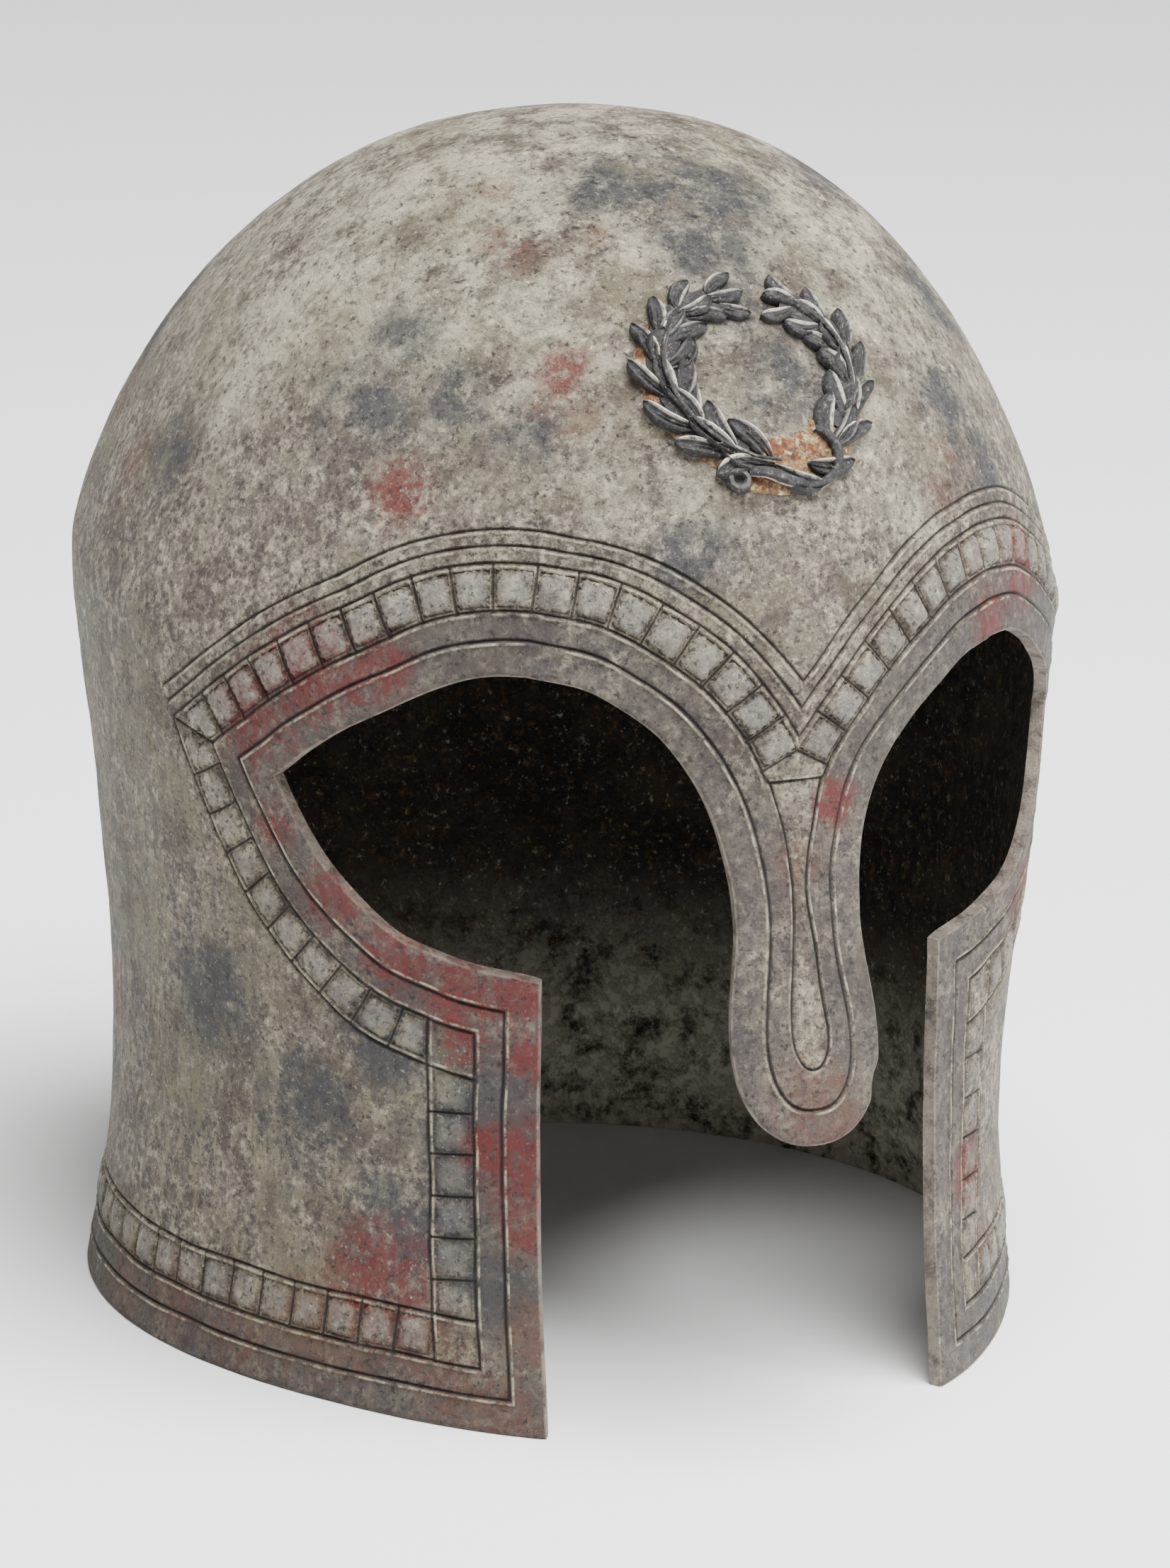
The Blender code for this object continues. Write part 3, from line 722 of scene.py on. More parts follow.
PATCHES = {
    Stain.RED: (
        Patch(-67, -59, 188, 8), Patch(-84, -54, 152, 13), Patch(-90, -44, 139, 12),
        Patch(-74, -68, 155, 8), Patch(-78, -63, 151, 6), Patch(-87, -47, 118, 6),
        Patch(-78, -60, 106, 9), Patch(-69, -70, 96, 9), Patch(-58, -77, 89, 10),
        Patch(-47, -86, 55, 11), Patch(-46, -89, 44, 9), Patch(-70, -68, 28, 13),
        Patch(-53, -82, 57, 7), Patch(-57, -78, 79, 6), Patch(-36, -67, 213, 6),
        Patch(64, -74, 167, 11), Patch(51, -87, 160, 8), Patch(9, -105, 131, 6), Patch(-50, -84, 90, 8),
        Patch(-46, -87, 78, 8), Patch(70, -60, 95, 10), Patch(80, 40, 120, 12), Patch(-60, 95, 60, 12),
        Patch(30, 112, 110, 10), Patch(-97, 25, 60, 10), Patch(56, -78, 40, 9),
    ),
    Stain.RUST: (
        Patch(-33, -24, 240, 5), Patch(-35, -44, 231, 6), Patch(-38, -36, 232, 5),
        Patch(-37, -75, 204, 6), Patch(-41, -69, 208, 5), Patch(0, -120, 74, 11), Patch(6, -121, 69, 8),
        Patch(-79, -57, 14, 13), Patch(-73, -66, 14, 10), Patch(-63, -78, 15, 10),
        Patch(-53, -91, 3, 12), Patch(-59, -84, 7, 10), Patch(-45, -93, 20, 9), Patch(-79, 53, 180, 8),
        Patch(-91, 20, 176, 8), Patch(39, -86, 187, 6), Patch(45, -88, 173, 6), Patch(42, -80, 194, 5),
        Patch(-21, -47, 235, 5), Patch(65, -74, 23, 7), Patch(-94, -23, 10, 10), Patch(-97, -4, 7, 9),
        Patch(-88, -42, 8, 10), Patch(60, -60, 3, 12), Patch(0, -108, 120, 6), Patch(40, 100, 4, 14),
        Patch(-60, 80, 6, 14), Patch(96, 10, 5, 12),
    ),
    Stain.SLATE_AND_SHADE: (
        Patch(4, -41, 240, 20), Patch(0, -58, 233, 13), Patch(-12, -36, 241, 13),
        Patch(47, -70, 202, 12), Patch(54, -72, 190, 10), Patch(-68, -43, 202, 13),
        Patch(-55, -57, 206, 9), Patch(48, -10, 235, 12), Patch(41, -20, 237, 10),
        Patch(-90, 4, 182, 10), Patch(-90, -27, 77, 15), Patch(-80, -51, 60, 14),
        # Painted shade: the patches from (-50, -85, 70) to (-50, -84, 30), low on the left cheek, darken it.
        Patch(-21, -97, 182, 9), Patch(0, -70, 227, 9), Patch(-50, -85, 70, 9), Patch(-56, -80, 62, 18),
        Patch(-63, -73, 40, 15), Patch(-68, -68, 76, 12), Patch(-50, -84, 30, 11),
        Patch(6, -84, 214, 12), Patch(12, -80, 220, 9), Patch(-45, -70, 200, 9),
        Patch(-60, -40, 215, 9), Patch(60, -40, 215, 12), Patch(85, 30, 190, 18),
        Patch(-70, 60, 200, 16), Patch(20, 100, 190, 20), Patch(-88, 40, 90, 16),
    ),
    Stain.CREAM: (
        Patch(-45, -8, 237, 13), Patch(-38, -8, 239, 11), Patch(-31, -25, 240, 10),
        Patch(32, -46, 231, 11), Patch(27, -70, 217, 10), Patch(21, -82, 207, 10),
        Patch(-62, -14, 222, 14), Patch(-72, -11, 211, 14), Patch(-82, -8, 198, 11),
        Patch(-17, -94, 190, 7), Patch(-35, -86, 192, 7), Patch(-44, -50, 221, 12),
        Patch(-34, -62, 219, 9), Patch(-57, -40, 216, 14), Patch(30, -88, 185, 9),
    ),
    Stain.OLIVE: (
        Patch(-94, 2, 83, 17), Patch(-92, -15, 58, 17), Patch(-88, -38, 88, 13), Patch(-67, -69, 58, 7),
        Patch(-44, -22, 235, 15), Patch(-68, -26, 211, 15), Patch(-19, -63, 226, 10),
        Patch(18, -67, 223, 10), Patch(-52, -70, 196, 11), Patch(-95, -19, 113, 11),
        Patch(-98, -2, 123, 11), Patch(25, -78, 205, 12), Patch(-10, -80, 210, 10),
        Patch(90, 30, 60, 20), Patch(-30, 105, 150, 22),
    ),
}


def patch_share(points: np.ndarray, stain: Stain) -> np.ndarray:
    """How strongly each point lies in a patch of this kind.

    Args:
        points: the points.
        stain: the kind of patch.

    Returns:
        A share from 0 to 1 for each point.
    """
    share = np.zeros(len(points))
    for patch in PATCHES[stain]:
        away = np.linalg.norm(points - np.array([patch.x, patch.y, patch.z]) * MM, axis=1)
        spread = patch.spread * MM
        share = np.maximum(share, 1.0 - smooth_step(away, 0.1 * spread, 1.7 * spread))
    return share


def gaps_to(taken: np.ndarray, points: np.ndarray) -> np.ndarray:
    """How far each point lies from the nearest of some others.

    Args:
        taken: the others, as rows of two or three numbers.
        points: the points, as rows of as many.

    Returns:
        The distance for each point.
    """
    filled, asked = (np.pad(rows, ((0, 0), (0, 3 - rows.shape[1]))) for rows in (taken, points))
    tree = kdtree.KDTree(len(filled))
    for index, place in enumerate(filled):
        tree.insert(place, index)
    tree.balance()
    return np.array([tree.find(place)[2] for place in asked])


def mirrored(sheet: np.ndarray) -> np.ndarray:
    """Rows of the sheet and their twins on the -X side."""
    return np.concatenate([sheet, sheet * (-1.0, 1.0)])


def mesh_object(name: str, verts: np.ndarray, groups: dict, materials: list,
                shares: dict) -> bpy.types.Object:
    """Make a smooth mesh object.

    Args:
        name: the object's name.
        verts: its points.
        groups: its faces, as rows of point numbers, for each material's number.
        materials: its materials, in order.
        shares: values to keep at each point, by name.

    Returns:
        The object, in the scene.
    """
    every = [tuple(int(index) for index in face) for group in groups.values() for face in group]
    mesh = bpy.data.meshes.new(name)
    mesh.from_pydata([tuple(point) for point in verts], [], every)
    for material in materials:
        mesh.materials.append(material)
    numbers = [number for number, group in groups.items() for _ in group]
    mesh.polygons.foreach_set("material_index", numbers)
    for key, values in shares.items():
        layer = mesh.attributes.new(key, "FLOAT", "POINT")
        layer.data.foreach_set("value", np.asarray(values, np.float32))
    mesh.validate()
    mesh.shade_smooth()
    mesh.set_sharp_from_angle(angle=math.radians(42))
    made = bpy.data.objects.new(name, mesh)
    bpy.context.scene.collection.objects.link(made)
    return made


@dataclass
class Sheet:
    """One face of the bronze, laid out flat.

    Rows are its points as (along, climb), pillow is each point's share of a swelling, edge is the
    numbers of the points along the edge and seam those below the dome.
    """

    rows: np.ndarray
    pillow: np.ndarray
    faces: list
    edge: list
    seam: list = field(default_factory=list)


@dataclass
class HelmetShell:
    """The bronze in one piece, with its engraved borders, slight dents and rounded edges."""

    bowl: Bowl
    border: Border
    wall: float = 3.0 * MM
    seam_climb: float = 0.1925
    columns: int = 176
    fine_step: float = 1.5 * MM
    coarse_step: float = 2.1 * MM
    fine_reach: float = 31 * MM
    inner_columns: int = 88
    inner_step: float = 3.6 * MM
    clear_of_lines: float = 0.55 * MM
    clear_of_pillows: float = 1.15 * MM
    line_sample: float = 0.15 * MM
    pillow_height: float = 0.85 * MM
    chip: tuple = (15.2 * MM, 76.5 * MM, 4.2 * MM)
    chip_depth: float = 1.1 * MM
    edge_fall: float = 0.4 * MM
    edge_middle: float = 0.55
    edge_reach: float = 40 * MM
    edge_width: float = 0.1 * MM
    waver: float = 0.42 * MM
    waver_wave: float = 13 * MM
    waver_seeds: tuple = (21.0, 27.0)
    waver_fade: tuple = (1.0 * MM, 4.0 * MM)
    row_share: float = 0.87
    shortest_piece: float = 0.05 * MM
    halved_below: float = 0.55
    uneven_pillows: Ripples = Ripples(0.85, 0.45, 6 * MM, 3.0)
    uneven_grooves: Ripples = Ripples(0.95, 0.50, 5 * MM, 9.0)
    uneven_burrs: Ripples = Ripples(0.90, 0.80, 4 * MM, 11.0)
    dents: Ripples = Ripples(0.0, 0.40 * MM, 34 * MM, 1.0)
    dent_fade: float = 20 * MM
    hammering: Ripples = Ripples(0.0, 0.16 * MM, 11 * MM, 5.0)
    roughness: Ripples = Ripples(0.0, 0.07 * MM, 3.6 * MM, 7.0)
    inner_dents: Ripples = Ripples(0.0, 0.12 * MM, 9 * MM, 31.0)

    def edge(self) -> np.ndarray:
        """The edge of the +X half, from the back of the rim to the nasal's tip."""
        parts = self.border.parts
        return np.concatenate([parts["rim"], parts["front"][1:], parts["eye"][1:], parts["arch"][1:]])

    def fill(self, edge: np.ndarray, fine: float, coarse: float, near: float) -> np.ndarray:
        """Points between the lines: a staggered grid, finer near the edge.

        Args:
            edge: the bronze's edge.
            fine: the grid's step near the edge.
            coarse: its step elsewhere.
            near: how far from the edge the fine grid goes.

        Returns:
            Rows of the sheet.
        """
        found = []
        for step, close in ((fine, True), (coarse, False)):
            grid = []
            levels = np.arange(step, self.seam_climb - 0.4 * step, step * self.row_share)
            for number, up in enumerate(levels):
                start = step * (0.5 if number % 2 else 1.0)
                grid += [(along, up) for along in np.arange(start, self.bowl.half_length - 0.5 * step, step)]
            grid = np.array(grid)
            found.append(grid[(gaps_to(edge, grid) < near) == close])
        return np.concatenate(found)

    def outline(self, edge: np.ndarray, coarse: float, columns: int) -> tuple[np.ndarray, int]:
        """The closed outline of the +X half: edge, middle of the face, seam and middle of the back.

        Args:
            edge: the bronze's edge.
            coarse: the step up the back.
            columns: pieces of the seam.

        Returns:
            The outline's rows, and the number at which its seam starts.
        """
        back = np.linspace(0.0, self.seam_climb, round(self.seam_climb / coarse) + 1)
        seam = np.linspace(0.0, self.bowl.half_length, columns + 1)
        tip = edge[-1][1]
        front = np.linspace(tip, self.seam_climb, round((self.seam_climb - tip) / (2 * MM)))
        rows = [*edge]
        rows += [(0.0, up) for up in front[1:-1]]
        rows += [(along, self.seam_climb) for along in seam]
        rows += [(self.bowl.half_length, up) for up in back[-2:0:-1]]
        return np.array(rows), len(edge) + len(front) - 2

    def half(self, lines: list, points: list, steps: tuple, near: float, columns: int) -> Sheet:
        """Cut the +X half of the sheet, below the dome, into triangles along every line.

        Args:
            lines: (rows, mark) of each engraved line.
            points: (rows, heights) of each square's pillow.
            steps: the grid's fine step and its coarse one.
            near: how far from the edge the fine grid goes.
            columns: pieces of the seam with the dome.

        Returns:
            The half.
        """
        edge = self.edge()
        outline, seam_start = self.outline(edge, steps[1], columns)
        rows, shares = [outline], [np.zeros(len(outline))]
        count = len(outline)
        links = [(index, (index + 1) % count) for index in range(count)]
        for line, _ in lines:
            moved = np.linalg.norm(np.diff(line, axis=0), axis=1) > self.shortest_piece
            line = line[np.concatenate([[True], moved])]
            links += [(count + index, count + index + 1) for index in range(len(line) - 1)]
            count += len(line)
            rows.append(line)
            shares.append(np.zeros(len(line)))
        for group, heights in points:
            rows.append(group)
            shares.append(heights)
        grid = self.fill(edge, *steps, near)
        grid = grid[gaps_to(np.concatenate(rows), grid) > self.clear_of_lines]
        if points:
            pillows = np.concatenate([group for group, _ in points])
            grid = grid[gaps_to(pillows, grid) > self.clear_of_pillows]
        flat = np.concatenate([*rows, grid])
        shares = np.concatenate([*shares, np.zeros(len(grid))])
        # Millimetres keep the triangulation's tolerance well below the lines' width
        ring = list(range(len(outline)))
        cut = delaunay_2d_cdt([Vector(row) for row in flat / MM], links, [ring], 1, 1e-4)
        sheet = np.array([(point.x, point.y) for point in cut[0]]) * MM
        pillow = np.zeros(len(sheet))
        where = np.full(len(flat), -1)
        for index, sources in enumerate(cut[3]):
            for source in sources:
                pillow[index] = shares[source] or pillow[index]
                where[source] = index
        seam = where[seam_start : seam_start + columns + 1]
        return Sheet(sheet, pillow, list(cut[2]), where[: len(edge)], seam)

    def whole(self, half: Sheet) -> Sheet:
        """Mirror the +X half and close it with the dome.

        Args:
            half: the half.

        Returns:
            The whole sheet, with its edge all the way round.
        """
        length = self.bowl.half_length
        on_plane = (half.rows[:, 0] < 1e-7) | (half.rows[:, 0] > length - 1e-7)
        twin = np.arange(len(half.rows))
        twin[~on_plane] = len(half.rows) + np.arange((~on_plane).sum())
        rows = [half.rows, half.rows[~on_plane] * (-1.0, 1.0)]
        faces = [tuple(face) for face in half.faces]
        faces += [tuple(twin[list(face)][::-1]) for face in half.faces]
        count = len(half.rows) + int((~on_plane).sum())
        ring = [*half.seam, *twin[half.seam][-2:0:-1]]
        seam = half.rows[half.seam][:, 0]
        dome, dome_faces = self.dome(ring, np.concatenate([seam, -seam[-2:0:-1]]), count)
        rows = np.concatenate([*rows, dome])
        pillow = np.concatenate([half.pillow, half.pillow[~on_plane], np.zeros(len(dome))])
        return Sheet(rows, pillow, faces + dome_faces, [*half.edge, *twin[half.edge][-2:0:-1]])

    def dome(self, ring: list, places: np.ndarray, count: int) -> tuple[np.ndarray, list]:
        """The rings of the dome, halved in number where they grow too tight, and its top.

        Args:
            ring: the numbers of the points along the seam.
            places: how far along the sheet each of them lies.
            count: how many points there are so far.

        Returns:
            The dome's rows and its faces.
        """
        step = 2 * self.bowl.half_length / len(ring)
        rise = self.bowl.climb - self.seam_climb
        climbs = np.linspace(self.seam_climb, self.bowl.climb, round(rise / step) + 1)
        rows, faces = [], []
        for climb in climbs[1:-1]:
            around = self.bowl.place(np.stack([places, np.full(len(places), climb)], -1))
            gap = np.linalg.norm(around - np.roll(around, 1, axis=0), axis=1).mean()
            halved = gap < self.halved_below * step and len(places) % 2 == 0
            above = places[::2] if halved else places
            fresh = list(range(count, count + len(above)))
            rows += [(along, climb) for along in above]
            count += len(above)
            size = len(ring)
            for index, low in enumerate(fresh):
                after = fresh[(index + 1) % len(fresh)]
                if not halved:
                    faces.append((ring[index], ring[(index + 1) % size], after, low))
                    continue
                left, middle, right = ring[2 * index], ring[2 * index + 1], ring[(2 * index + 2) % size]
                faces += [(left, middle, low), (middle, right, after), (middle, after, low)]
            ring, places = fresh, above
        rows.append((0.0, self.bowl.climb))
        faces += [(ring[index], ring[(index + 1) % len(ring)], count) for index in range(len(ring))]
        return np.array(rows), faces

    def engraved(self, lines: list, mark: Mark, points: np.ndarray) -> np.ndarray:
        """How near each point lies to the lines of one kind.

        Args:
            lines: (rows, mark) of each line.
            mark: the kind.
            points: the points.

        Returns:
            1 on the lines, and 0 beyond their reach.
        """
        drawn = []
        for rows in [line for line, kind in lines if kind is mark]:
            lengths = np.linalg.norm(np.diff(rows, axis=0), axis=1)
            pieces = np.maximum(1, np.ceil(lengths / self.line_sample)).astype(int)
            for start, end, count in zip(rows[:-1], rows[1:], pieces):
                drawn.append(start + (end - start) * (np.arange(count) / count)[:, None])
        on_bronze = self.bowl.place(mirrored(np.concatenate(drawn)))
        return np.clip(1.0 - gaps_to(on_bronze, points) / self.border.line_reach, 0.0, 1.0)

    def relief(self, points: np.ndarray, values: dict, away: np.ndarray) -> np.ndarray:
        """How far each point stands off the plain surface: lines, pillows, dents and edges.

        Args:
            points: the points.
            values: their shares of the pillows, grooves and burrs.
            away: their distance from the edge.

        Returns:
            The lift of each point.
        """
        lift = values["pillow"] * self.pillow_height * self.uneven_pillows.at(points)
        lift -= values["groove"] * self.border.line_depth * self.uneven_grooves.at(points)
        lift += values["burr"] * self.border.burr_height * self.uneven_burrs.at(points)
        across, up, size = self.chip
        # The back half is put a metre away, so that the chip shows in the face alone
        beside = np.hypot(points[:, 0] - across, points[:, 2] - up) + 1.0 * (points[:, 1] > 0.0)
        lift -= self.chip_depth * (1.0 - smooth_step(beside, 0.2 * size, size))
        lift += self.dents.at(points) * smooth_step(away, 0.0, self.dent_fade)
        lift += self.hammering.at(points)
        lift += self.roughness.at(points) * (1.0 - values["groove"])
        return lift - np.where(away < self.edge_width, self.edge_fall, 0.0)

    def surface(self, rows: np.ndarray) -> tuple[np.ndarray, np.ndarray]:
        """Points of the plain bronze and its outward normals, level along the rim.

        Args:
            rows: places on the sheet.

        Returns:
            The points and the normals.
        """
        points, normals = self.bowl.place(rows), self.bowl.normals(rows)
        rim = points[:, 2] < 1e-6
        normals[rim] = unit(normals[rim] * (1.0, 1.0, 0.0))
        return points, normals

    def outer_face(self) -> tuple[Sheet, np.ndarray, np.ndarray, dict]:
        """The outer face, engraved.

        Returns:
            Its sheet, its points, the points half-way through the wall along its edge, and the
            values kept at each point.
        """
        bars, pillows = self.border.squares()
        bevel = [(rows, Mark.PLAIN) for rows in self.border.chain(self.border.bevel)]
        lines = self.border.grooves() + bars + bevel
        half = self.half(lines, pillows, (self.fine_step, self.coarse_step), self.fine_reach, self.columns)
        sheet = self.whole(half)
        plain = self.bowl.place(sheet.rows)
        away = gaps_to(self.bowl.place(mirrored(self.edge())), plain)
        away[sheet.edge] = 0.0
        values = {
            "pillow": sheet.pillow,
            "groove": self.engraved(lines, Mark.GROOVE, plain),
            "burr": self.engraved(lines, Mark.BURR, plain),
            "away": np.minimum(away / self.edge_reach, 1.0),
        }
        drift = smooth_step(away, *self.waver_fade) * self.waver
        moves = [drift * ripple(plain, self.waver_wave, seed) for seed in self.waver_seeds]
        sheet.rows = sheet.rows + np.stack(moves, -1)
        sheet.rows[-1] = (0.0, self.bowl.climb)
        plain, normals = self.surface(sheet.rows)
        lift = self.relief(plain, values, away)
        middle = plain[sheet.edge] - normals[sheet.edge] * (self.edge_middle * self.wall)
        return sheet, plain + normals * lift[:, None], middle, values

    def inner_face(self) -> tuple[Sheet, np.ndarray]:
        """The inner face, plain and slightly uneven.

        Returns:
            Its sheet and its points.
        """
        half = self.half([], [], (self.inner_step, self.inner_step), 1.0 * MM, self.inner_columns)
        sheet = self.whole(half)
        plain, normals = self.surface(sheet.rows)
        sunk = self.wall + self.inner_dents.at(plain)
        return sheet, plain - normals * sunk[:, None]

    def build(self, outside: bpy.types.Material, inside: bpy.types.Material) -> bpy.types.Object:
        """Build and dress the bronze.

        Args:
            outside: the finish of the outer face and the edges.
            inside: the finish of the inner face.

        Returns:
            The shell.
        """
        outer, outer_points, edge_points, values = self.outer_face()
        inner, inner_points = self.inner_face()
        first_inner = len(outer_points)
        first_edge = first_inner + len(inner_points)
        groups = {0: list(outer.faces), 1: []}
        groups[1] = [tuple(first_inner + index for index in face[::-1]) for face in inner.faces]
        size = len(outer.edge)
        for index in range(size):
            after = (index + 1) % size
            low, high = first_edge + index, first_edge + after
            groups[0].append((outer.edge[after], outer.edge[index], low, high))
            groups[0].append((high, low, first_inner + inner.edge[index], first_inner + inner.edge[after]))
        points = np.concatenate([outer_points, inner_points, edge_points])
        plain = np.zeros(len(points) - first_inner)
        kept = {key: np.concatenate([share, plain]) for key, share in values.items()}
        for stain in Stain:
            kept[stain.value] = patch_share(points, stain)
        made = mesh_object("shell_bronze", points, groups, [outside, inside], kept)
        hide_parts("helmet_shell")
        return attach(made, "root")


@dataclass
class LaurelWreath:
    """Two laurel branches in low relief, open at the top and tied at the foot."""

    bowl: Bowl
    climb: float = 0.068
    across: float = 0.0195
    up: float = 0.0185
    tilt: float = math.radians(10)
    band: float = 7.5 * MM
    thick: float = 1.2 * MM
    leaf_long: float = 11.5 * MM
    leaf_wide: float = 4.5 * MM
    leaf_high: float = 1.75 * MM
    leaf_bend: float = 0.12
    leaf_powers: tuple = (2.5, 0.6)
    leaf_flare: tuple = (0.86, 0.24)
    leaf_narrowest: float = 0.03 * MM
    leaf_ground: tuple = (0.22, 0.30, 0.10)
    rim_share: float = 0.62
    rib_share: float = 0.5
    leaf_beside: tuple = (0.0, 0.18, 0.42, 0.66, 0.84, 0.97, 1.0)
    rim_place: float = 0.70
    rim_width: float = 0.22
    rib_width: float = 0.13
    # Painted highlight on the leaves, with some wear: the way it faces, its share on every rim and towards
    # the light, on the rib, and from leaf to leaf.
    painted_highlight_way: tuple = (0.85, 0.5)
    rim_rub_and_painted_highlight: tuple = (0.35, 1.3)
    rib_rub_and_painted_highlight: float = 0.6
    rub_and_painted_highlight_spread: tuple = (0.6, 0.5)
    seat: float = 0.3 * MM
    stations: int = 8
    first: float = math.radians(-76)
    last: float = math.radians(72)
    right_stem_first: float = math.radians(-36)
    shrink: float = 0.30
    side_turn: float = math.radians(29)
    side_shift: float = 0.42
    lifts: dict = field(default_factory=lambda: {-1: 0.31, 0: 0.72, 1: 0.52})
    stem_section: dict = field(default_factory=lambda: {
        "across": (-0.5, -0.44, -0.2, 0.2, 0.44, 0.5),
        "lift": (0.0, 0.75, 1.0, 1.0, 0.75, 0.0),
    })
    vein_turns: dict = field(default_factory=lambda: {-1: (-96, 40), 1: (-40, 55)})
    vein_radius: float = 0.5 * MM
    ribbon: tuple = ((-0.24, -1.16), (-0.06, -1.14), (0.16, -1.20), (0.38, -1.22))
    ribbon_radius: float = 1.25 * MM
    curl: tuple = ((0.30, -1.26), (0.52, -1.20), (0.70, -1.06), (0.74, -0.84), (0.64, -0.66), (0.50, -0.58))
    curl_radius: float = 1.05 * MM
    knot_place: tuple = (-0.33, -1.25)
    knot_radius: float = 2.3 * MM
    knot_high: float = 1.9 * MM
    knot_section: dict = field(default_factory=lambda: {
        "out": (1.15, 1.1, 0.9, 0.62, 0.42, 0.3, 0.02),
        "lift": (0.0, 0.55, 1.0, 1.0, 0.6, 0.35, 0.3),
    })
    # How much painted highlight the knot's raised ring takes.
    knot_rub_and_painted_highlight: float = 0.20
    verts: list = field(default_factory=list)
    faces: list = field(default_factory=list)
    wear_and_painted_highlight: list = field(default_factory=list)

    def __post_init__(self) -> None:
        """Measure the middle line of the forehead from the brow up."""
        share = np.linspace(0, 0.999, 400)
        self.ups = self.bowl.brow_height + (self.bowl.height - self.bowl.brow_height) * share
        line = self.bowl.at_height(np.zeros(400), self.ups)
        steps = np.linalg.norm(np.diff(line, axis=0), axis=1)
        self.climbs = np.concatenate([[0.0], np.cumsum(steps)])

    def on_bronze(self, across: np.ndarray, climb: np.ndarray) -> np.ndarray:
        """Points of the bronze this far across and up the middle line from the brow."""
        height = np.interp(climb, self.climbs, self.ups)
        return self.bowl.place(self.bowl.from_front(across, height))

    def place(self, across: np.ndarray, up: np.ndarray, lift: np.ndarray) -> np.ndarray:
        """Points of the wreath, turned by its tilt and lifted square off the bronze.

        Args:
            across: how far each lies across the wreath from its middle.
            up: how far up the wreath.
            lift: how far off the bronze.

        Returns:
            The points.
        """
        turned = across * math.cos(self.tilt) + up * math.sin(self.tilt)
        climb = self.climb - across * math.sin(self.tilt) + up * math.cos(self.tilt)
        small = 0.5 * MM
        point = self.on_bronze(turned, climb)
        right = self.on_bronze(turned + small, climb) - point
        above = self.on_bronze(turned, climb + small) - point
        return point + unit(np.cross(right, above)) * lift[..., None]

    def spine(self, turn: float) -> tuple[float, float, float]:
        """The middle line of a branch and its heading; -90 degrees is the knot, 90 the open top."""
        heading = math.atan2(self.up * math.cos(turn), -self.across * math.sin(turn))
        return self.across * math.cos(turn), self.up * math.sin(turn), heading

    def add_grid(self, points: np.ndarray, wear_and_painted_highlight: np.ndarray, round_way: bool = False) -> None:
        """Add a sheet of points.

        Args:
            points: the points, in rows and columns.
            wear_and_painted_highlight: how far each is painted bright, as a highlight and as wear.
            round_way: whether each row closes on itself.
        """
        rows, columns = points.shape[:2]
        start = len(self.verts)
        self.verts += [tuple(point) for point in points.reshape(-1, 3)]
        self.wear_and_painted_highlight += list(wear_and_painted_highlight.reshape(-1))
        for row in range(rows - 1):
            for column in range(columns if round_way else columns - 1):
                after = (column + 1) % columns
                a, b = start + row * columns + column, start + row * columns + after
                self.faces.append((a, b, b + columns, a + columns))

    def leaf(self, side: int, centre: tuple, heading: float, long: float, lift: float, seed: float) -> None:
        """Add one blunt leaf, hollow along its middle, with a thick rim painted pale on its upper side as a
        highlight, and a little all round as wear.

        Args:
            side: 1 for the branch on the +X side, -1 for the other.
            centre: the leaf's middle, across and up.
            heading: the way that it points.
            long: its length.
            lift: how far its foot stands off the bronze.
            seed: makes it a little unlike the others.
        """
        scale = long / self.leaf_long
        along = np.linspace(0.0, 1.0, 15)[:, None]
        beside = np.array([*(-share for share in self.leaf_beside[:0:-1]), *self.leaf_beside])[None]
        tip_power, side_power = self.leaf_powers
        half = (1.0 - np.abs(2 * along - 1) ** tip_power) ** side_power
        half = half * (self.leaf_flare[0] + self.leaf_flare[1] * along)
        half = np.maximum(half * 0.5 * self.leaf_wide * scale, self.leaf_narrowest)
        bend = self.leaf_bend * long * np.sin(math.pi * along) * math.sin(seed * 2.1)
        body = np.sin(math.pi * np.clip(along, 0.05, 0.95)) ** 0.45
        thick = np.exp(-(((np.abs(beside) - self.rim_place) / self.rim_width) ** 2)) * body
        rib = self.rib_share * np.exp(-((beside / self.rib_width) ** 2)) * body * (1 - along)
        low, rise, swing = self.leaf_ground
        ground = low + rise * along**2 + swing * math.sin(seed)
        height = self.leaf_high * scale * (ground + self.rim_share * thick + rib)
        shift = (along - 0.5) * long
        wide = beside * half + bend
        across = centre[0] + shift * math.cos(heading) - wide * math.sin(heading)
        up = centre[1] + shift * math.sin(heading) + wide * math.cos(heading)
        foot = np.broadcast_to(np.abs(beside) > 0.99, height.shape)
        points = self.place(side * across, up, np.where(foot, self.seat, lift + height))
        # Painted highlight: the rims that face up and outward, towards the light, are painted pale, and every
        # rim and the rib a little, as wear.
        over, beyond = self.painted_highlight_way
        toward_light = (math.cos(heading) * over - side * math.sin(heading) * beyond) * beside
        always, toward_light_share = self.rim_rub_and_painted_highlight
        rub_and_painted_highlight = thick * np.clip(always + toward_light_share * toward_light, 0.0, 1.0) + self.rib_rub_and_painted_highlight * rib
        least, spread = self.rub_and_painted_highlight_spread
        wear_and_painted_highlight = np.clip(rub_and_painted_highlight * (least + spread * math.sin(seed * 1.7) ** 2), 0.0, 1.0)
        if side < 0:
            points, wear_and_painted_highlight = points[:, ::-1], wear_and_painted_highlight[:, ::-1]
        self.add_grid(points, wear_and_painted_highlight)

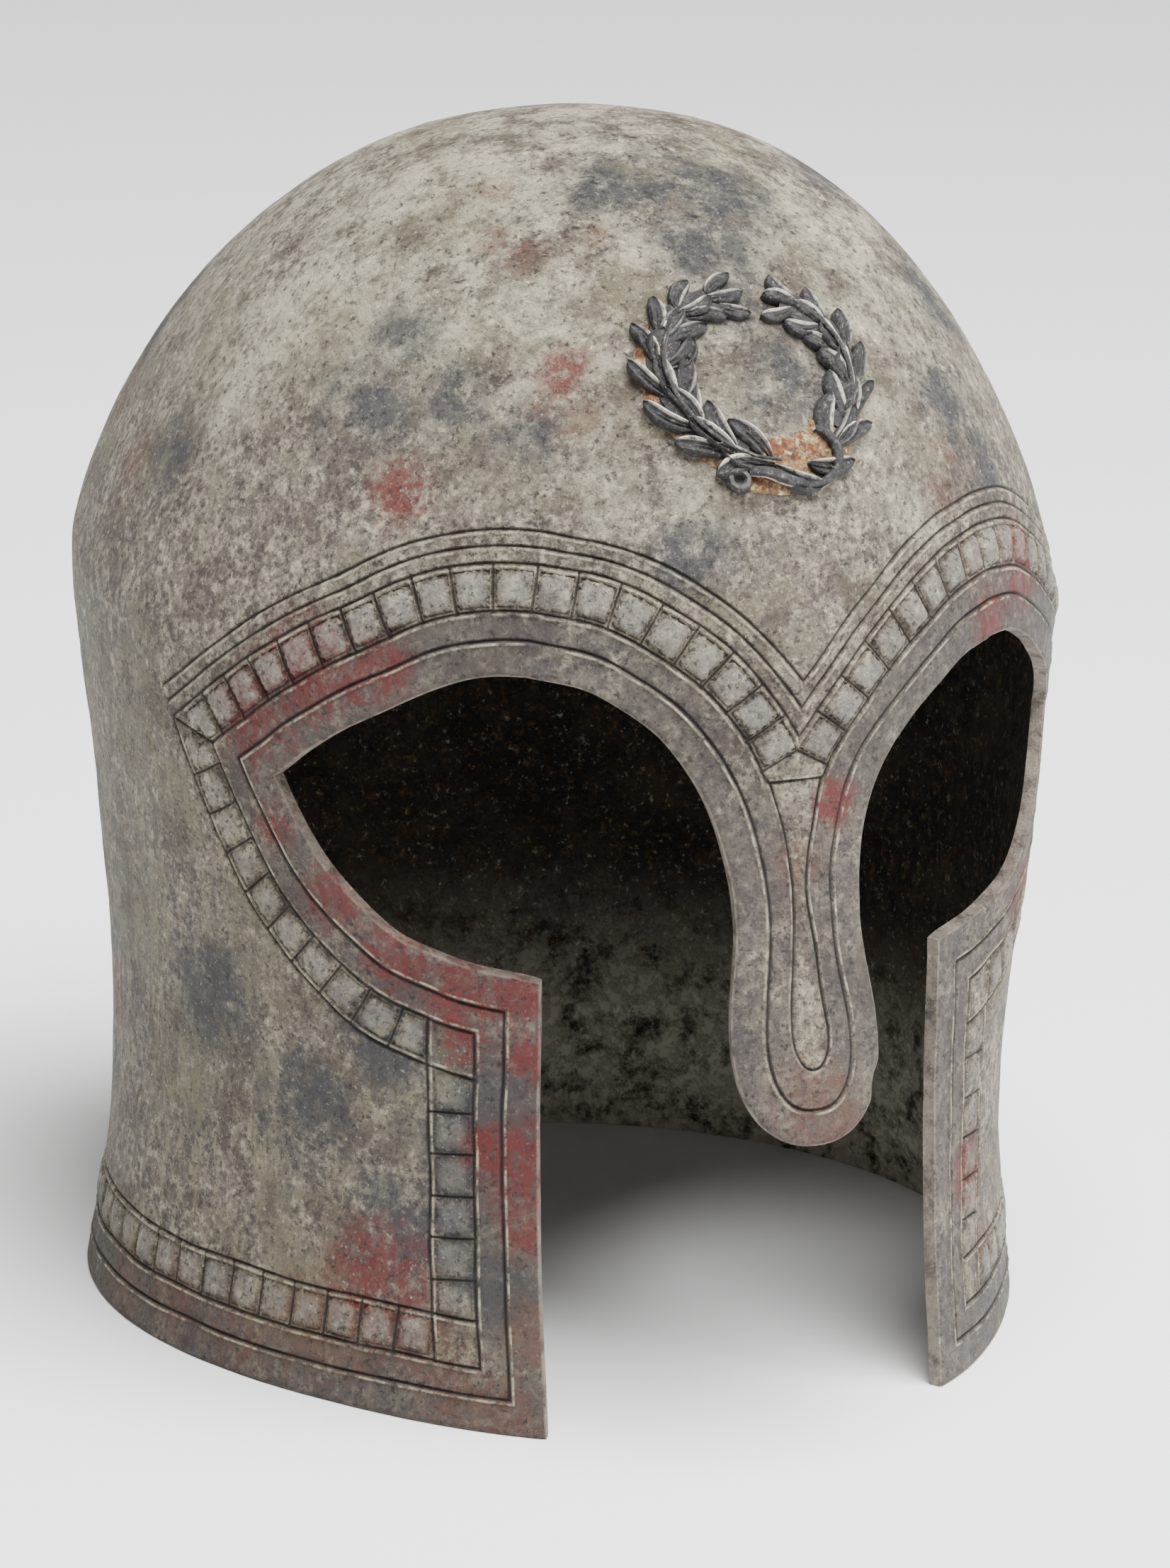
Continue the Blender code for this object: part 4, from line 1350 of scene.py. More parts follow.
    def branches(self) -> None:
        """Add both branches: stations of three overlapping leaves, smaller towards the open end."""
        for side in (1, -1):
            for station in range(self.stations):
                share = station / (self.stations - 1)
                turn = self.first + (self.last - self.first) * share
                across, up, heading = self.spine(turn)
                long = self.leaf_long * (1.0 - self.shrink * share)
                for row in (-1, 1, 0):
                    # The curl of the ribbon takes the place of these leaves
                    if side > 0 and station < 2 and row < 1:
                        continue
                    shift = row * self.side_shift * self.band
                    centre = (across + math.cos(turn) * shift, up + math.sin(turn) * shift)
                    lift = self.seat + self.lifts[row] * self.thick
                    seed = 3.7 * station + 1.3 * row + 0.6 * side
                    leaf_heading = heading - row * self.side_turn * (1.0 + 0.12 * math.sin(seed * 3.3))
                    leaf_long = long * (1 + 0.07 * math.sin(seed * 5.1))
                    self.leaf(side, centre, leaf_heading, leaf_long, lift, seed)

    def stem(self) -> None:
        """Add the low band that the leaves grow from."""
        beside = np.array(self.stem_section["across"]) * self.band * 0.86
        lift = np.array(self.stem_section["lift"]) * self.thick * 0.9 + self.seat
        for side, first in ((1, self.right_stem_first), (-1, self.first)):
            turns = np.linspace(first, self.last, 40)
            spots = np.array([self.spine(turn)[:2] for turn in turns])[:, None]
            out = np.stack([np.cos(turns), np.sin(turns)], -1)[:, None]
            places = spots + out * beside[None, :, None]
            lifts = np.broadcast_to(lift, places.shape[:2])
            points = self.place(side * places[..., 0], places[..., 1], lifts)
            self.add_grid(points if side < 0 else points[:, ::-1], np.zeros(places.shape[:2]))

    def cord(self, route: tuple, radius: float, rise: float) -> None:
        """Add a round cord.

        Args:
            route: places that it runs through, as shares of the wreath's size.
            radius: its radius in the middle.
            rise: how far it is raised off the bronze.
        """
        stops = np.linspace(0.0, 1.0, len(route))
        at = np.linspace(0.0, 1.0, 8 * len(route))
        across = self.across * smooth_curve(stops, [place[0] for place in route], at)
        up = self.up * smooth_curve(stops, [place[1] for place in route], at)
        run = unit(np.stack([np.gradient(across), np.gradient(up)], -1))
        turns = np.arange(10) * math.tau / 10
        taper = radius * (0.35 + 0.65 * np.sin(math.pi * np.clip(at, 0.03, 0.97)) ** 0.4)
        beside = np.cos(turns)[None] * taper[:, None]
        lift = self.seat + rise + taper[:, None] * (1.0 + np.sin(turns)[None])
        points = self.place(across[:, None] - run[:, 1:] * beside, up[:, None] + run[:, :1] * beside, lift)
        # Painted highlight along the top of each cord.
        wear_and_painted_highlight = np.broadcast_to(np.clip(np.sin(turns), 0, 1)[None], lift.shape)
        self.add_grid(points[:, ::-1], wear_and_painted_highlight, round_way=True)

    def knot(self) -> None:
        """Add the ring of the knot, with a sunk middle, at the foot of the wreath."""
        turns = np.arange(20) * math.tau / 20
        out = np.array(self.knot_section["out"])[:, None] * self.knot_radius
        rise = np.array(self.knot_section["lift"])[:, None] + 0.0 * turns
        across = self.knot_place[0] * self.across + out * np.cos(turns)
        up = self.knot_place[1] * self.up + out * np.sin(turns)
        points = self.place(across, up, self.seat + rise * self.knot_high)
        # Painted highlight on the raised ring of the knot.
        self.add_grid(points, self.knot_rub_and_painted_highlight * rise, round_way=True)

    def build(self, finish: bpy.types.Material) -> bpy.types.Object:
        """Build and dress the wreath.

        Args:
            finish: its finish.

        Returns:
            The wreath.
        """
        self.stem()
        self.branches()
        for side, limits in self.vein_turns.items():
            turns = np.radians(np.linspace(*limits, 9))
            route = [(side * 0.99 * math.cos(turn), 0.99 * math.sin(turn)) for turn in turns]
            self.cord(tuple(route), self.vein_radius, 1.2 * self.thick)
        self.cord(self.ribbon, self.ribbon_radius, 0.5 * self.thick)
        self.cord(self.curl, self.curl_radius, 0.4 * self.thick)
        self.knot()
        made = mesh_object("laurel_wreath_bronze", self.verts, {0: self.faces}, [finish], {"wear_and_painted_highlight": self.wear_and_painted_highlight})
        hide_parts("laurel_wreath")
        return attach(made, "root")


@dataclass
class WreathCrust:
    """The rough crust that has crept out from under the wreath, most of all low on its left."""

    wreath: LaurelWreath
    first: float = -214.0
    last: float = 42.0
    step: float = 1.3
    columns: int = 33
    left: tuple = (-214, -170, -95, -60)
    foot: tuple = (-120, -85, -45, 5)
    high: float = 0.85 * MM
    sunk: float = 0.15 * MM
    outward: tuple = (0.46, 0.24, 0.20, 0.14)
    inward: tuple = (0.36, 0.36, 0.16)
    waver: tuple = (Ripples(0.0, 0.80, 2.6 * MM, 41.0), Ripples(0.0, 0.35, 1.1 * MM, 43.0))
    crumb: tuple = (Ripples(0.0, 0.5, 1.0 * MM, 47.0), Ripples(0.0, 0.6, 2.4 * MM, 51.0))

    def reach(self, spots: np.ndarray, left: np.ndarray, foot: np.ndarray) -> tuple[np.ndarray, np.ndarray]:
        """How far the crust goes to either side of the wreath's middle line.

        Args:
            spots: places on the middle line.
            left: how far each belongs to the crust's broad left part.
            foot: how far each belongs to its foot.

        Returns:
            The reach outward and the reach inward.
        """
        seeds = np.concatenate([spots, np.zeros((len(spots), 1))], -1)
        waver = sum(part.at(seeds) for part in self.waver)
        plain, at_left, at_foot, wild = self.outward
        outward = (plain + at_left * left + at_foot * foot + wild * waver) * self.wreath.band
        plain, at_foot, wild = self.inward
        inward = (plain + at_foot * foot + wild * waver) * self.wreath.band
        return outward, inward

    def build(self, finish: bpy.types.Material) -> bpy.types.Object:
        """Build and dress the crust.

        Args:
            finish: its finish.

        Returns:
            The crust.
        """
        wreath = self.wreath
        degrees = np.arange(self.first, self.last, self.step)
        turns = np.radians(degrees)
        shares = np.linspace(-1.0, 1.0, self.columns)[None]
        spots = np.stack([np.cos(turns) * wreath.across, np.sin(turns) * wreath.up], -1)
        out = np.stack([np.cos(turns), np.sin(turns)], -1)
        left, foot = (
            smooth_step(degrees, *ends[:2]) * (1 - smooth_step(degrees, *ends[2:]))
            for ends in (self.left, self.foot)
        )
        outward, inward = self.reach(spots, left, foot)
        reach = np.where(shares > 0, outward[:, None], inward[:, None])
        places = spots[:, None] + out[:, None] * (reach * shares)[..., None]
        flat = np.concatenate([places, np.zeros((*places.shape[:2], 1))], -1).reshape(-1, 3)
        rough = sum(part.at(flat) for part in self.crumb).reshape(places.shape[:2])
        thick = (0.35 + 0.65 * np.maximum(left, foot))[:, None]
        height = wreath.seat * 0.6 + (0.9 + 0.7 * rough) * self.high * (1 - np.abs(shares) ** 4) * thick
        height = np.where(np.abs(shares) > 0.99, -self.sunk, height)
        height[[0, -1]] = -self.sunk
        points = wreath.place(places[..., 0], places[..., 1], height)
        sheet = LaurelWreath(wreath.bowl)
        # The crust's share here is its crumb, which its own finish doesn't read.
        sheet.add_grid(points[:, ::-1], np.clip(0.5 + rough, 0, 1))
        made = mesh_object("wreath_crust", sheet.verts, {0: sheet.faces}, [finish], {"wear_and_painted_highlight": sheet.wear_and_painted_highlight})
        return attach(made, "root")


def linear(code: str) -> tuple[float, float, float, float]:
    """An sRGB hex colour such as '#8f8878', in the linear values that the shaders take."""
    shares = [int(code[place : place + 2], 16) / 255 for place in (1, 3, 5)]
    return (*(s / 12.92 if s <= 0.04045 else ((s + 0.055) / 1.055) ** 2.4 for s in shares), 1.0)


def add(tree: bpy.types.NodeTree, kind: str, inputs: dict | None = None, **settings) -> bpy.types.Node:
    """Add a node to a material.

    Args:
        tree: the material's node tree.
        kind: the node's type, without the ShaderNode in front.
        inputs: what each input takes, by name or number: a socket to link, or a value.
        settings: the node's own settings.

    Returns:
        The node.
    """
    made = tree.nodes.new("ShaderNode" + kind)
    for name, value in settings.items():
        setattr(made, name, value)
    for key, value in (inputs or {}).items():
        if isinstance(value, Socket):
            tree.links.new(value, made.inputs[key])
        else:
            made.inputs[key].default_value = value
    return made


@dataclass(frozen=True)
class Grain:
    """A cloudy pattern: the size of its grains in mm, and the noise that it starts and is full at.

    Detail is the noise's octaves, seed moves it, and tall draws it out upwards. Pores and dust are
    finer than a tenth of a millimetre on the real bronze. They are drawn at 1 to 2 mm, so that the
    render shows them.
    """

    size: float
    start: float
    full: float
    detail: float = 8.0
    seed: float = 0.0
    tall: float = 1.0


class Layer(NamedTuple):
    """One colour of a finish: its sRGB hex code, how well it covers and the pattern it lies in."""

    colour: str
    cover: float
    grain: Grain | None = None


@dataclass
class Patina:
    """Builds up a finish, one colour over another, and closes it as a material."""

    name: str
    base: str
    grit: float = 0.74
    grains: dict = field(default_factory=dict)

    def __post_init__(self) -> None:
        """Start the material with its base colour."""
        self.material = bpy.data.materials.new(self.name)
        self.material.use_nodes = True
        self.tree = self.material.node_tree
        self.tree.nodes.clear()
        self.space = add(self.tree, "TexCoord").outputs["Object"]
        self.colour = linear(self.base)

    def kept(self, key: str) -> Socket:
        """A value kept at the mesh's points."""
        return add(self.tree, "Attribute", attribute_name=key).outputs["Fac"]

    def between(self, value: Socket, start: float, full: float) -> Socket:
        """A share that goes smoothly from 0 at start to 1 at full."""
        limits = {0: value, 1: start, 2: full, 3: 0.0, 4: 1.0}
        return add(self.tree, "MapRange", limits, interpolation_type="SMOOTHSTEP").outputs[0]

    def height(self, start: float, full: float) -> Socket:
        """A share that goes from 0 at one height above the rim to 1 at another, in mm."""
        up = add(self.tree, "SeparateXYZ", {0: self.space}).outputs[2]
        return self.between(up, start * MM, full * MM)

    def grain(self, grain: Grain) -> Socket:
        """The share of a cloudy pattern, whose nodes are built once.

        Args:
            grain: the pattern.

        Returns:
            Its share at each place of the surface.
        """
        if grain not in self.grains:
            scale = (1.0, 1.0, 1.0 / grain.tall)
            moves = {"Vector": self.space, "Location": [grain.seed] * 3, "Scale": scale}
            place = add(self.tree, "Mapping", moves).outputs["Vector"]
            sizes = {"Scale": 1.0 / (grain.size * MM), "Detail": grain.detail, "Roughness": self.grit}
            cloud = add(self.tree, "TexNoise", {"Vector": place, **sizes}).outputs["Fac"]
            self.grains[grain] = self.between(cloud, grain.start, grain.full)
        return self.grains[grain]

    def math(self, way: str, *values: Socket | float) -> Socket:
        """One step of arithmetic on shares, held between 0 and 1."""
        return add(self.tree, "Math", dict(enumerate(values)), operation=way, use_clamp=True).outputs[0]

    def both(self, first: Socket, second: Socket | float) -> Socket:
        """Two shares multiplied, so that the second bounds or weakens the first."""
        return self.math("MULTIPLY", first, second)

    def lay(self, layer: Layer, within: Socket | None = None) -> None:
        """Lay a colour over what is there.

        Args:
            layer: the colour, its cover and its pattern.
            within: the share that bounds the pattern, or None where nothing does.
        """
        share = within
        if layer.grain is not None:
            cloud = self.grain(layer.grain)
            share = cloud if within is None else self.both(within, cloud)
        if layer.cover < 1.0:
            share = self.both(share, layer.cover)
        mixed = {0: share, 6: self.colour, 7: linear(layer.colour)}
        self.colour = add(self.tree, "Mix", mixed, data_type="RGBA").outputs[2]

    def finish(self, metallic: float, roughness: Socket | float, relief: Socket, strength: float,
               depth: float) -> bpy.types.Material:
        """Close the material with its shader and its bumps.

        Args:
            metallic: how much of the surface is bare metal.
            roughness: the surface's roughness.
            relief: the share of the bumps' height.
            strength: how strong the bumps are.
            depth: their full height in mm.

        Returns:
            The material.
        """
        bump = add(self.tree, "Bump", {"Strength": strength, "Distance": depth * MM, "Height": relief})
        shader = add(self.tree, "BsdfPrincipled", {
            "Base Color": self.colour,
            "Metallic": metallic,
            "Roughness": roughness,
            "Normal": bump.outputs[0],
        })
        add(self.tree, "OutputMaterial", {"Surface": shader.outputs[0]})
        return self.material


@dataclass(frozen=True)
class PatinatedBronze:
    """Cast bronze, chased, buried and cleaned.

    Its mineral crust reads as a matt, dry, grey-brown skin with cream, slate and red bloom; the slate
    low on the left cheek is painted shade. Only a trace of metal is left in it. The chased lines are
    painted dark as shade beside a pale burr painted as a highlight; the squares are painted paler as lit,
    their moats and the skirt darker as shade, the crown paler as lit from above and the very edge pale.

    A field that ends in heights is in mm above the rim, and one that ends in reach bounds a value
    kept at the mesh's points: 0 at its first number and full at its second.
    """

    deep: str = "#302a26"
    stone: Layer = Layer("#7e7468", 1.0, Grain(6.0, 0.38, 0.60, 12.0, 1.7))
    sand: Layer = Layer("#7e7468", 0.35, Grain(0.9, 0.40, 0.64, 6.0, 5.3))
    freckle: Layer = Layer("#d0c5ac", 0.76, Grain(2.4, 0.42, 0.64, 10.0, 3.1))
    smut: Layer = Layer("#302a26", 0.74, Grain(1.7, 0.49, 0.60, 8.0, 33.0))
    # Painted shade: the bronze is painted darker towards the bottom, where less of the light from above
    # falls.
    painted_low_shade: Layer = Layer("#353333", 0.45, Grain(20.0, 0.40, 0.62, 12.0, 6.7))
    painted_low_shade_heights: tuple = (120, 40)
    runs: Layer = Layer("#aaa080", 0.50, Grain(3.4, 0.50, 0.62, 10.0, 37.0, 5.0))
    runs_heights: tuple = (160, 110)
    # Painted light: the bronze is painted paler towards the top, where the light from above falls, in the
    # patina's cream.
    crown_painted_light: Layer = Layer("#cfc7ac", 0.68, Grain(7.0, 0.42, 0.58, 12.0, 16.3))
    crown_painted_light_heights: tuple = (170, 235)
    olive: Layer = Layer("#77705a", 1.0, Grain(26.0, 0.50, 0.66, 12.0, 2.9))
    umber: Layer = Layer("#43342a", 0.62, Grain(15.0, 0.48, 0.60, 12.0, 4.3))
    mauve: Layer = Layer("#40393a", 0.68, Grain(10.0, 0.26, 0.56, 10.0, 6.1))
    border_reach: tuple = (0.36, 0.28)
    olive_bloom: Layer = Layer("#77705a", 0.60, Grain(6.0, 0.30, 0.68, 12.0, 12.9))
    cream_bloom: Layer = Layer("#cfc7ac", 0.60, Grain(4.0, 0.30, 0.68, 12.0, 9.1))
    # Slate patches, painted shade where they lie low on the left cheek.
    slate_and_shade_bloom: Layer = Layer("#36363b", 0.85, Grain(9.0, 0.30, 0.68, 12.0, 7.7))
    rust_bloom: Layer = Layer("#683a28", 0.50, Grain(3.0, 0.30, 0.68, 12.0, 8.3))
    red_bloom: Layer = Layer("#6a1715", 0.85, Grain(3.5, 0.30, 0.68, 12.0, 11.3))
    bloom_cloud: tuple = (0.95, 0.20)
    bloom_reach: tuple = (0.10, 0.85)
    # Painted light: the swollen middle of each square is painted paler, as lit.
    square: Layer = Layer("#a19e95", 0.50, Grain(2.0, 0.30, 0.60, 6.0, 19.0))
    square_painted_light_reach: tuple = (0.20, 0.80)
    # Painted shade: the shallow moat round each square is painted dark.
    moat: Layer = Layer("#1b1816", 0.60)
    moat_painted_shade_reach: tuple = (0.0, -0.25)
    dust: Layer = Layer("#ded8c8", 0.55, Grain(1.1, 0.56, 0.70, 8.0, 13.0))
    dust_off_border: tuple = (-0.7, 1.0)
    pit: Layer = Layer("#1b1816", 0.85, Grain(1.5, 0.53, 0.64, 8.0, 17.0))
    # Painted highlight: the burr beside each line, the groove's lit wall, is painted pale cream.
    burr: Layer = Layer("#cfc5ab", 0.80, Grain(4.0, 0.42, 0.62, 8.0, 23.0))
    burr_painted_highlight_reach: tuple = (0.15, 0.80)
    # Painted highlight: a thin pale line along the very edge.
    rub_and_painted_highlight: Layer = Layer("#b3a797", 0.55, Grain(6.0, 0.34, 0.60, 8.0, 29.0))
    edge_painted_highlight_reach: tuple = (0.014, 0.0)
    # Painted shade: the grooves of the lines are painted dark.
    earth_and_painted_shade: Layer = Layer("#1d1917", 0.80)
    groove_painted_shade_reach: tuple = (0.15, 0.75)
    metallic: float = 0.15
    roughness: tuple = (0.16, 0.56)
    relief: tuple = (0.4, 0.6)

    def bloom(self, coat: Patina, stain: Stain, layer: Layer) -> None:
        """Lay one kind of patch, clouded by its pattern.

        Args:
            coat: the finish under way.
            stain: the kind of patch.
            layer: its colour, cover and pattern.
        """
        cloud = coat.math("MULTIPLY_ADD", coat.grain(layer.grain), *self.bloom_cloud)
        share = coat.between(coat.both(coat.kept(stain.value), cloud), *self.bloom_reach)
        coat.lay(layer._replace(grain=None), share)

    def weather_and_painted_light(self, coat: Patina) -> None:
        """Painted shade low down, pale runs on the skirt and painted light in cream on the crown.

        Args:
            coat: the finish under way.
        """
        # Painted shade below and painted light above, as the light falls from above.
        coat.lay(self.painted_low_shade, coat.height(*self.painted_low_shade_heights))
        coat.lay(self.runs, coat.height(*self.runs_heights))
        coat.lay(self.crown_painted_light, coat.height(*self.crown_painted_light_heights))

    def stain(self, coat: Patina, border: Socket) -> None:
        """The blooms of mineral colour, with painted shade in the slate ones low on the left cheek, and the
        bare mauve bronze along every edge.

        Args:
            coat: the finish under way.
            border: the share of the band along the edges.
        """
        coat.lay(self.olive)
        self.bloom(coat, Stain.OLIVE, self.olive_bloom)
        self.bloom(coat, Stain.CREAM, self.cream_bloom)
        coat.lay(self.umber)
        # The slate blooms low on the left cheek are painted shade.
        self.bloom(coat, Stain.SLATE_AND_SHADE, self.slate_and_shade_bloom)
        coat.lay(self.mauve, border)
        self.bloom(coat, Stain.RUST, self.rust_bloom)
        self.bloom(coat, Stain.RED, self.red_bloom)

    def chase(self, coat: Patina, border: Socket) -> None:
        """Painted light on the squares and painted shade in their moats, dust and pits, painted highlights on
        the burr and along the edge, and painted shade in the lines.

        Args:
            coat: the finish under way.
            border: the share of the band along the edges.
        """
        pillow = coat.kept("pillow")
        coat.lay(self.square, coat.between(pillow, *self.square_painted_light_reach))
        coat.lay(self.moat, coat.between(pillow, *self.moat_painted_shade_reach))
        coat.lay(self.dust, coat.math("MULTIPLY_ADD", border, *self.dust_off_border))
        coat.lay(self.pit)
        coat.lay(self.burr, coat.between(coat.kept("burr"), *self.burr_painted_highlight_reach))
        coat.lay(self.rub_and_painted_highlight, coat.between(coat.kept("away"), *self.edge_painted_highlight_reach))
        coat.lay(self.earth_and_painted_shade, coat.between(coat.kept("groove"), *self.groove_painted_shade_reach))

    def material(self) -> bpy.types.Material:
        """Build the outer finish.

        Returns:
            The material.
        """
        coat = Patina("patinated_bronze_matt_crust", self.deep)
        border = coat.between(coat.kept("away"), *self.border_reach)
        for layer in (self.stone, self.sand, self.freckle, self.smut):
            coat.lay(layer)
        self.weather_and_painted_light(coat)
        self.stain(coat, border)
        self.chase(coat, border)
        grit, clods = self.relief
        fine = coat.both(coat.grain(self.sand.grain), grit)
        coarse = coat.both(coat.grain(self.freckle.grain), clods)
        rough = coat.math("MULTIPLY_ADD", coat.grain(self.stone.grain), *self.roughness)
        relief = coat.math("ADD", fine, coarse)
        return coat.finish(self.metallic, rough, relief, strength=1.0, depth=0.6)


@dataclass(frozen=True)
class InnerPatina:
    """The bronze's unwashed inner face.

    Soot and earth make it almost black and quite matt, with brown and cream crumbs, and with
    grey-green lime low down.
    """

    black: str = "#0e0c0a"
    earth_and_painted_shade: Layer = Layer("#4a3b2d", 0.60, Grain(20.0, 0.46, 0.66, 12.0))
    loam: Layer = Layer("#7d6347", 0.50, Grain(2.2, 0.46, 0.66, 8.0, 3.0))
    lime: Layer = Layer("#c2beae", 1.0, Grain(6.0, 0.34, 0.54, 12.0, 8.0))
    lime_heights: tuple = (65, 10)
    crumb: Layer = Layer("#e3dabd", 0.35, Grain(1.5, 0.57, 0.66, 6.0, 5.0))

    def material(self) -> bpy.types.Material:
        """Build the inner finish.

        Returns:
            The material.
        """
        coat = Patina("bronze_inner_face_soot_and_earth", self.black)
        coat.lay(self.earth_and_painted_shade)
        coat.lay(self.loam)
        coat.lay(self.lime, coat.height(*self.lime_heights))
        coat.lay(self.crumb)
        bumps = coat.grain(self.loam.grain)
        return coat.finish(metallic=0.05, roughness=0.8, relief=bumps, strength=0.7, depth=0.5)


@dataclass(frozen=True)
class DarkCastBronze:
    """Cast bronze under a black patina.

    It reads as dark grey iron-like metal, half dull, painted almost white on the leaves' upper rims as a
    highlight, with some wear.
    """

    dark: str = "#19191b"
    ash: Layer = Layer("#454343", 1.0, Grain(1.6, 0.40, 0.66, 8.0, 2.0))
    dust: Layer = Layer("#a39c90", 0.60, Grain(0.9, 0.56, 0.70, 5.0, 6.0))
    rust: Layer = Layer("#6b4630", 0.70, Grain(5.0, 0.60, 0.72, 8.0, 8.0))
    # Painted highlight: the leaves' upper rims, the cords' tops and the knot painted almost white, with some
    # wear.
    wear_and_painted_highlight: Layer = Layer("#d6d0c4", 1.0, Grain(1.6, 0.32, 0.56, 8.0, 4.0))
    wear_and_painted_highlight_reach: tuple = (0.10, 0.60)

    def material(self) -> bpy.types.Material:
        """Build the wreath's finish.

        Returns:
            The material.
        """
        coat = Patina("dark_cast_bronze_rubbed_and_painted_highlight", self.dark)
        for layer in (self.ash, self.dust, self.rust):
            coat.lay(layer)
        coat.lay(self.wear_and_painted_highlight, coat.between(coat.kept("wear_and_painted_highlight"), *self.wear_and_painted_highlight_reach))
        bumps = coat.grain(self.ash.grain)
        return coat.finish(metallic=0.3, roughness=0.5, relief=bumps, strength=0.6, depth=0.3)


@dataclass(frozen=True)
class RustyCrust:
    """Dried cement and corrosion round the wreath: a rough crumb from cream to orange-brown."""

    orange: str = "#693a24"
    tan: Layer = Layer("#96754d", 1.0, Grain(3.2, 0.42, 0.58))
    cream: Layer = Layer("#cdbd97", 1.0, Grain(2.6, 0.50, 0.64, 8.0, 9.0))
    shade: Layer = Layer("#4c4038", 1.0, Grain(2.9, 0.54, 0.64, 8.0, 6.0))
    bumps: Grain = Grain(1.2, 0.40, 0.66, 8.0, 2.0)

    def material(self) -> bpy.types.Material:
        """Build the crust's finish.

        Returns:
            The material.
        """
        coat = Patina("cement_and_corrosion_crust", self.orange)
        for layer in (self.tan, self.cream, self.shade):
            coat.lay(layer)
        bumps = coat.grain(self.bumps)
        return coat.finish(metallic=0.0, roughness=0.9, relief=bumps, strength=0.8, depth=0.5)


@dataclass(frozen=True)
class SoftBox:
    """A round soft light that faces the helmet: its place and width in metres, and its watts."""

    name: str
    place: tuple
    width: float
    power: float


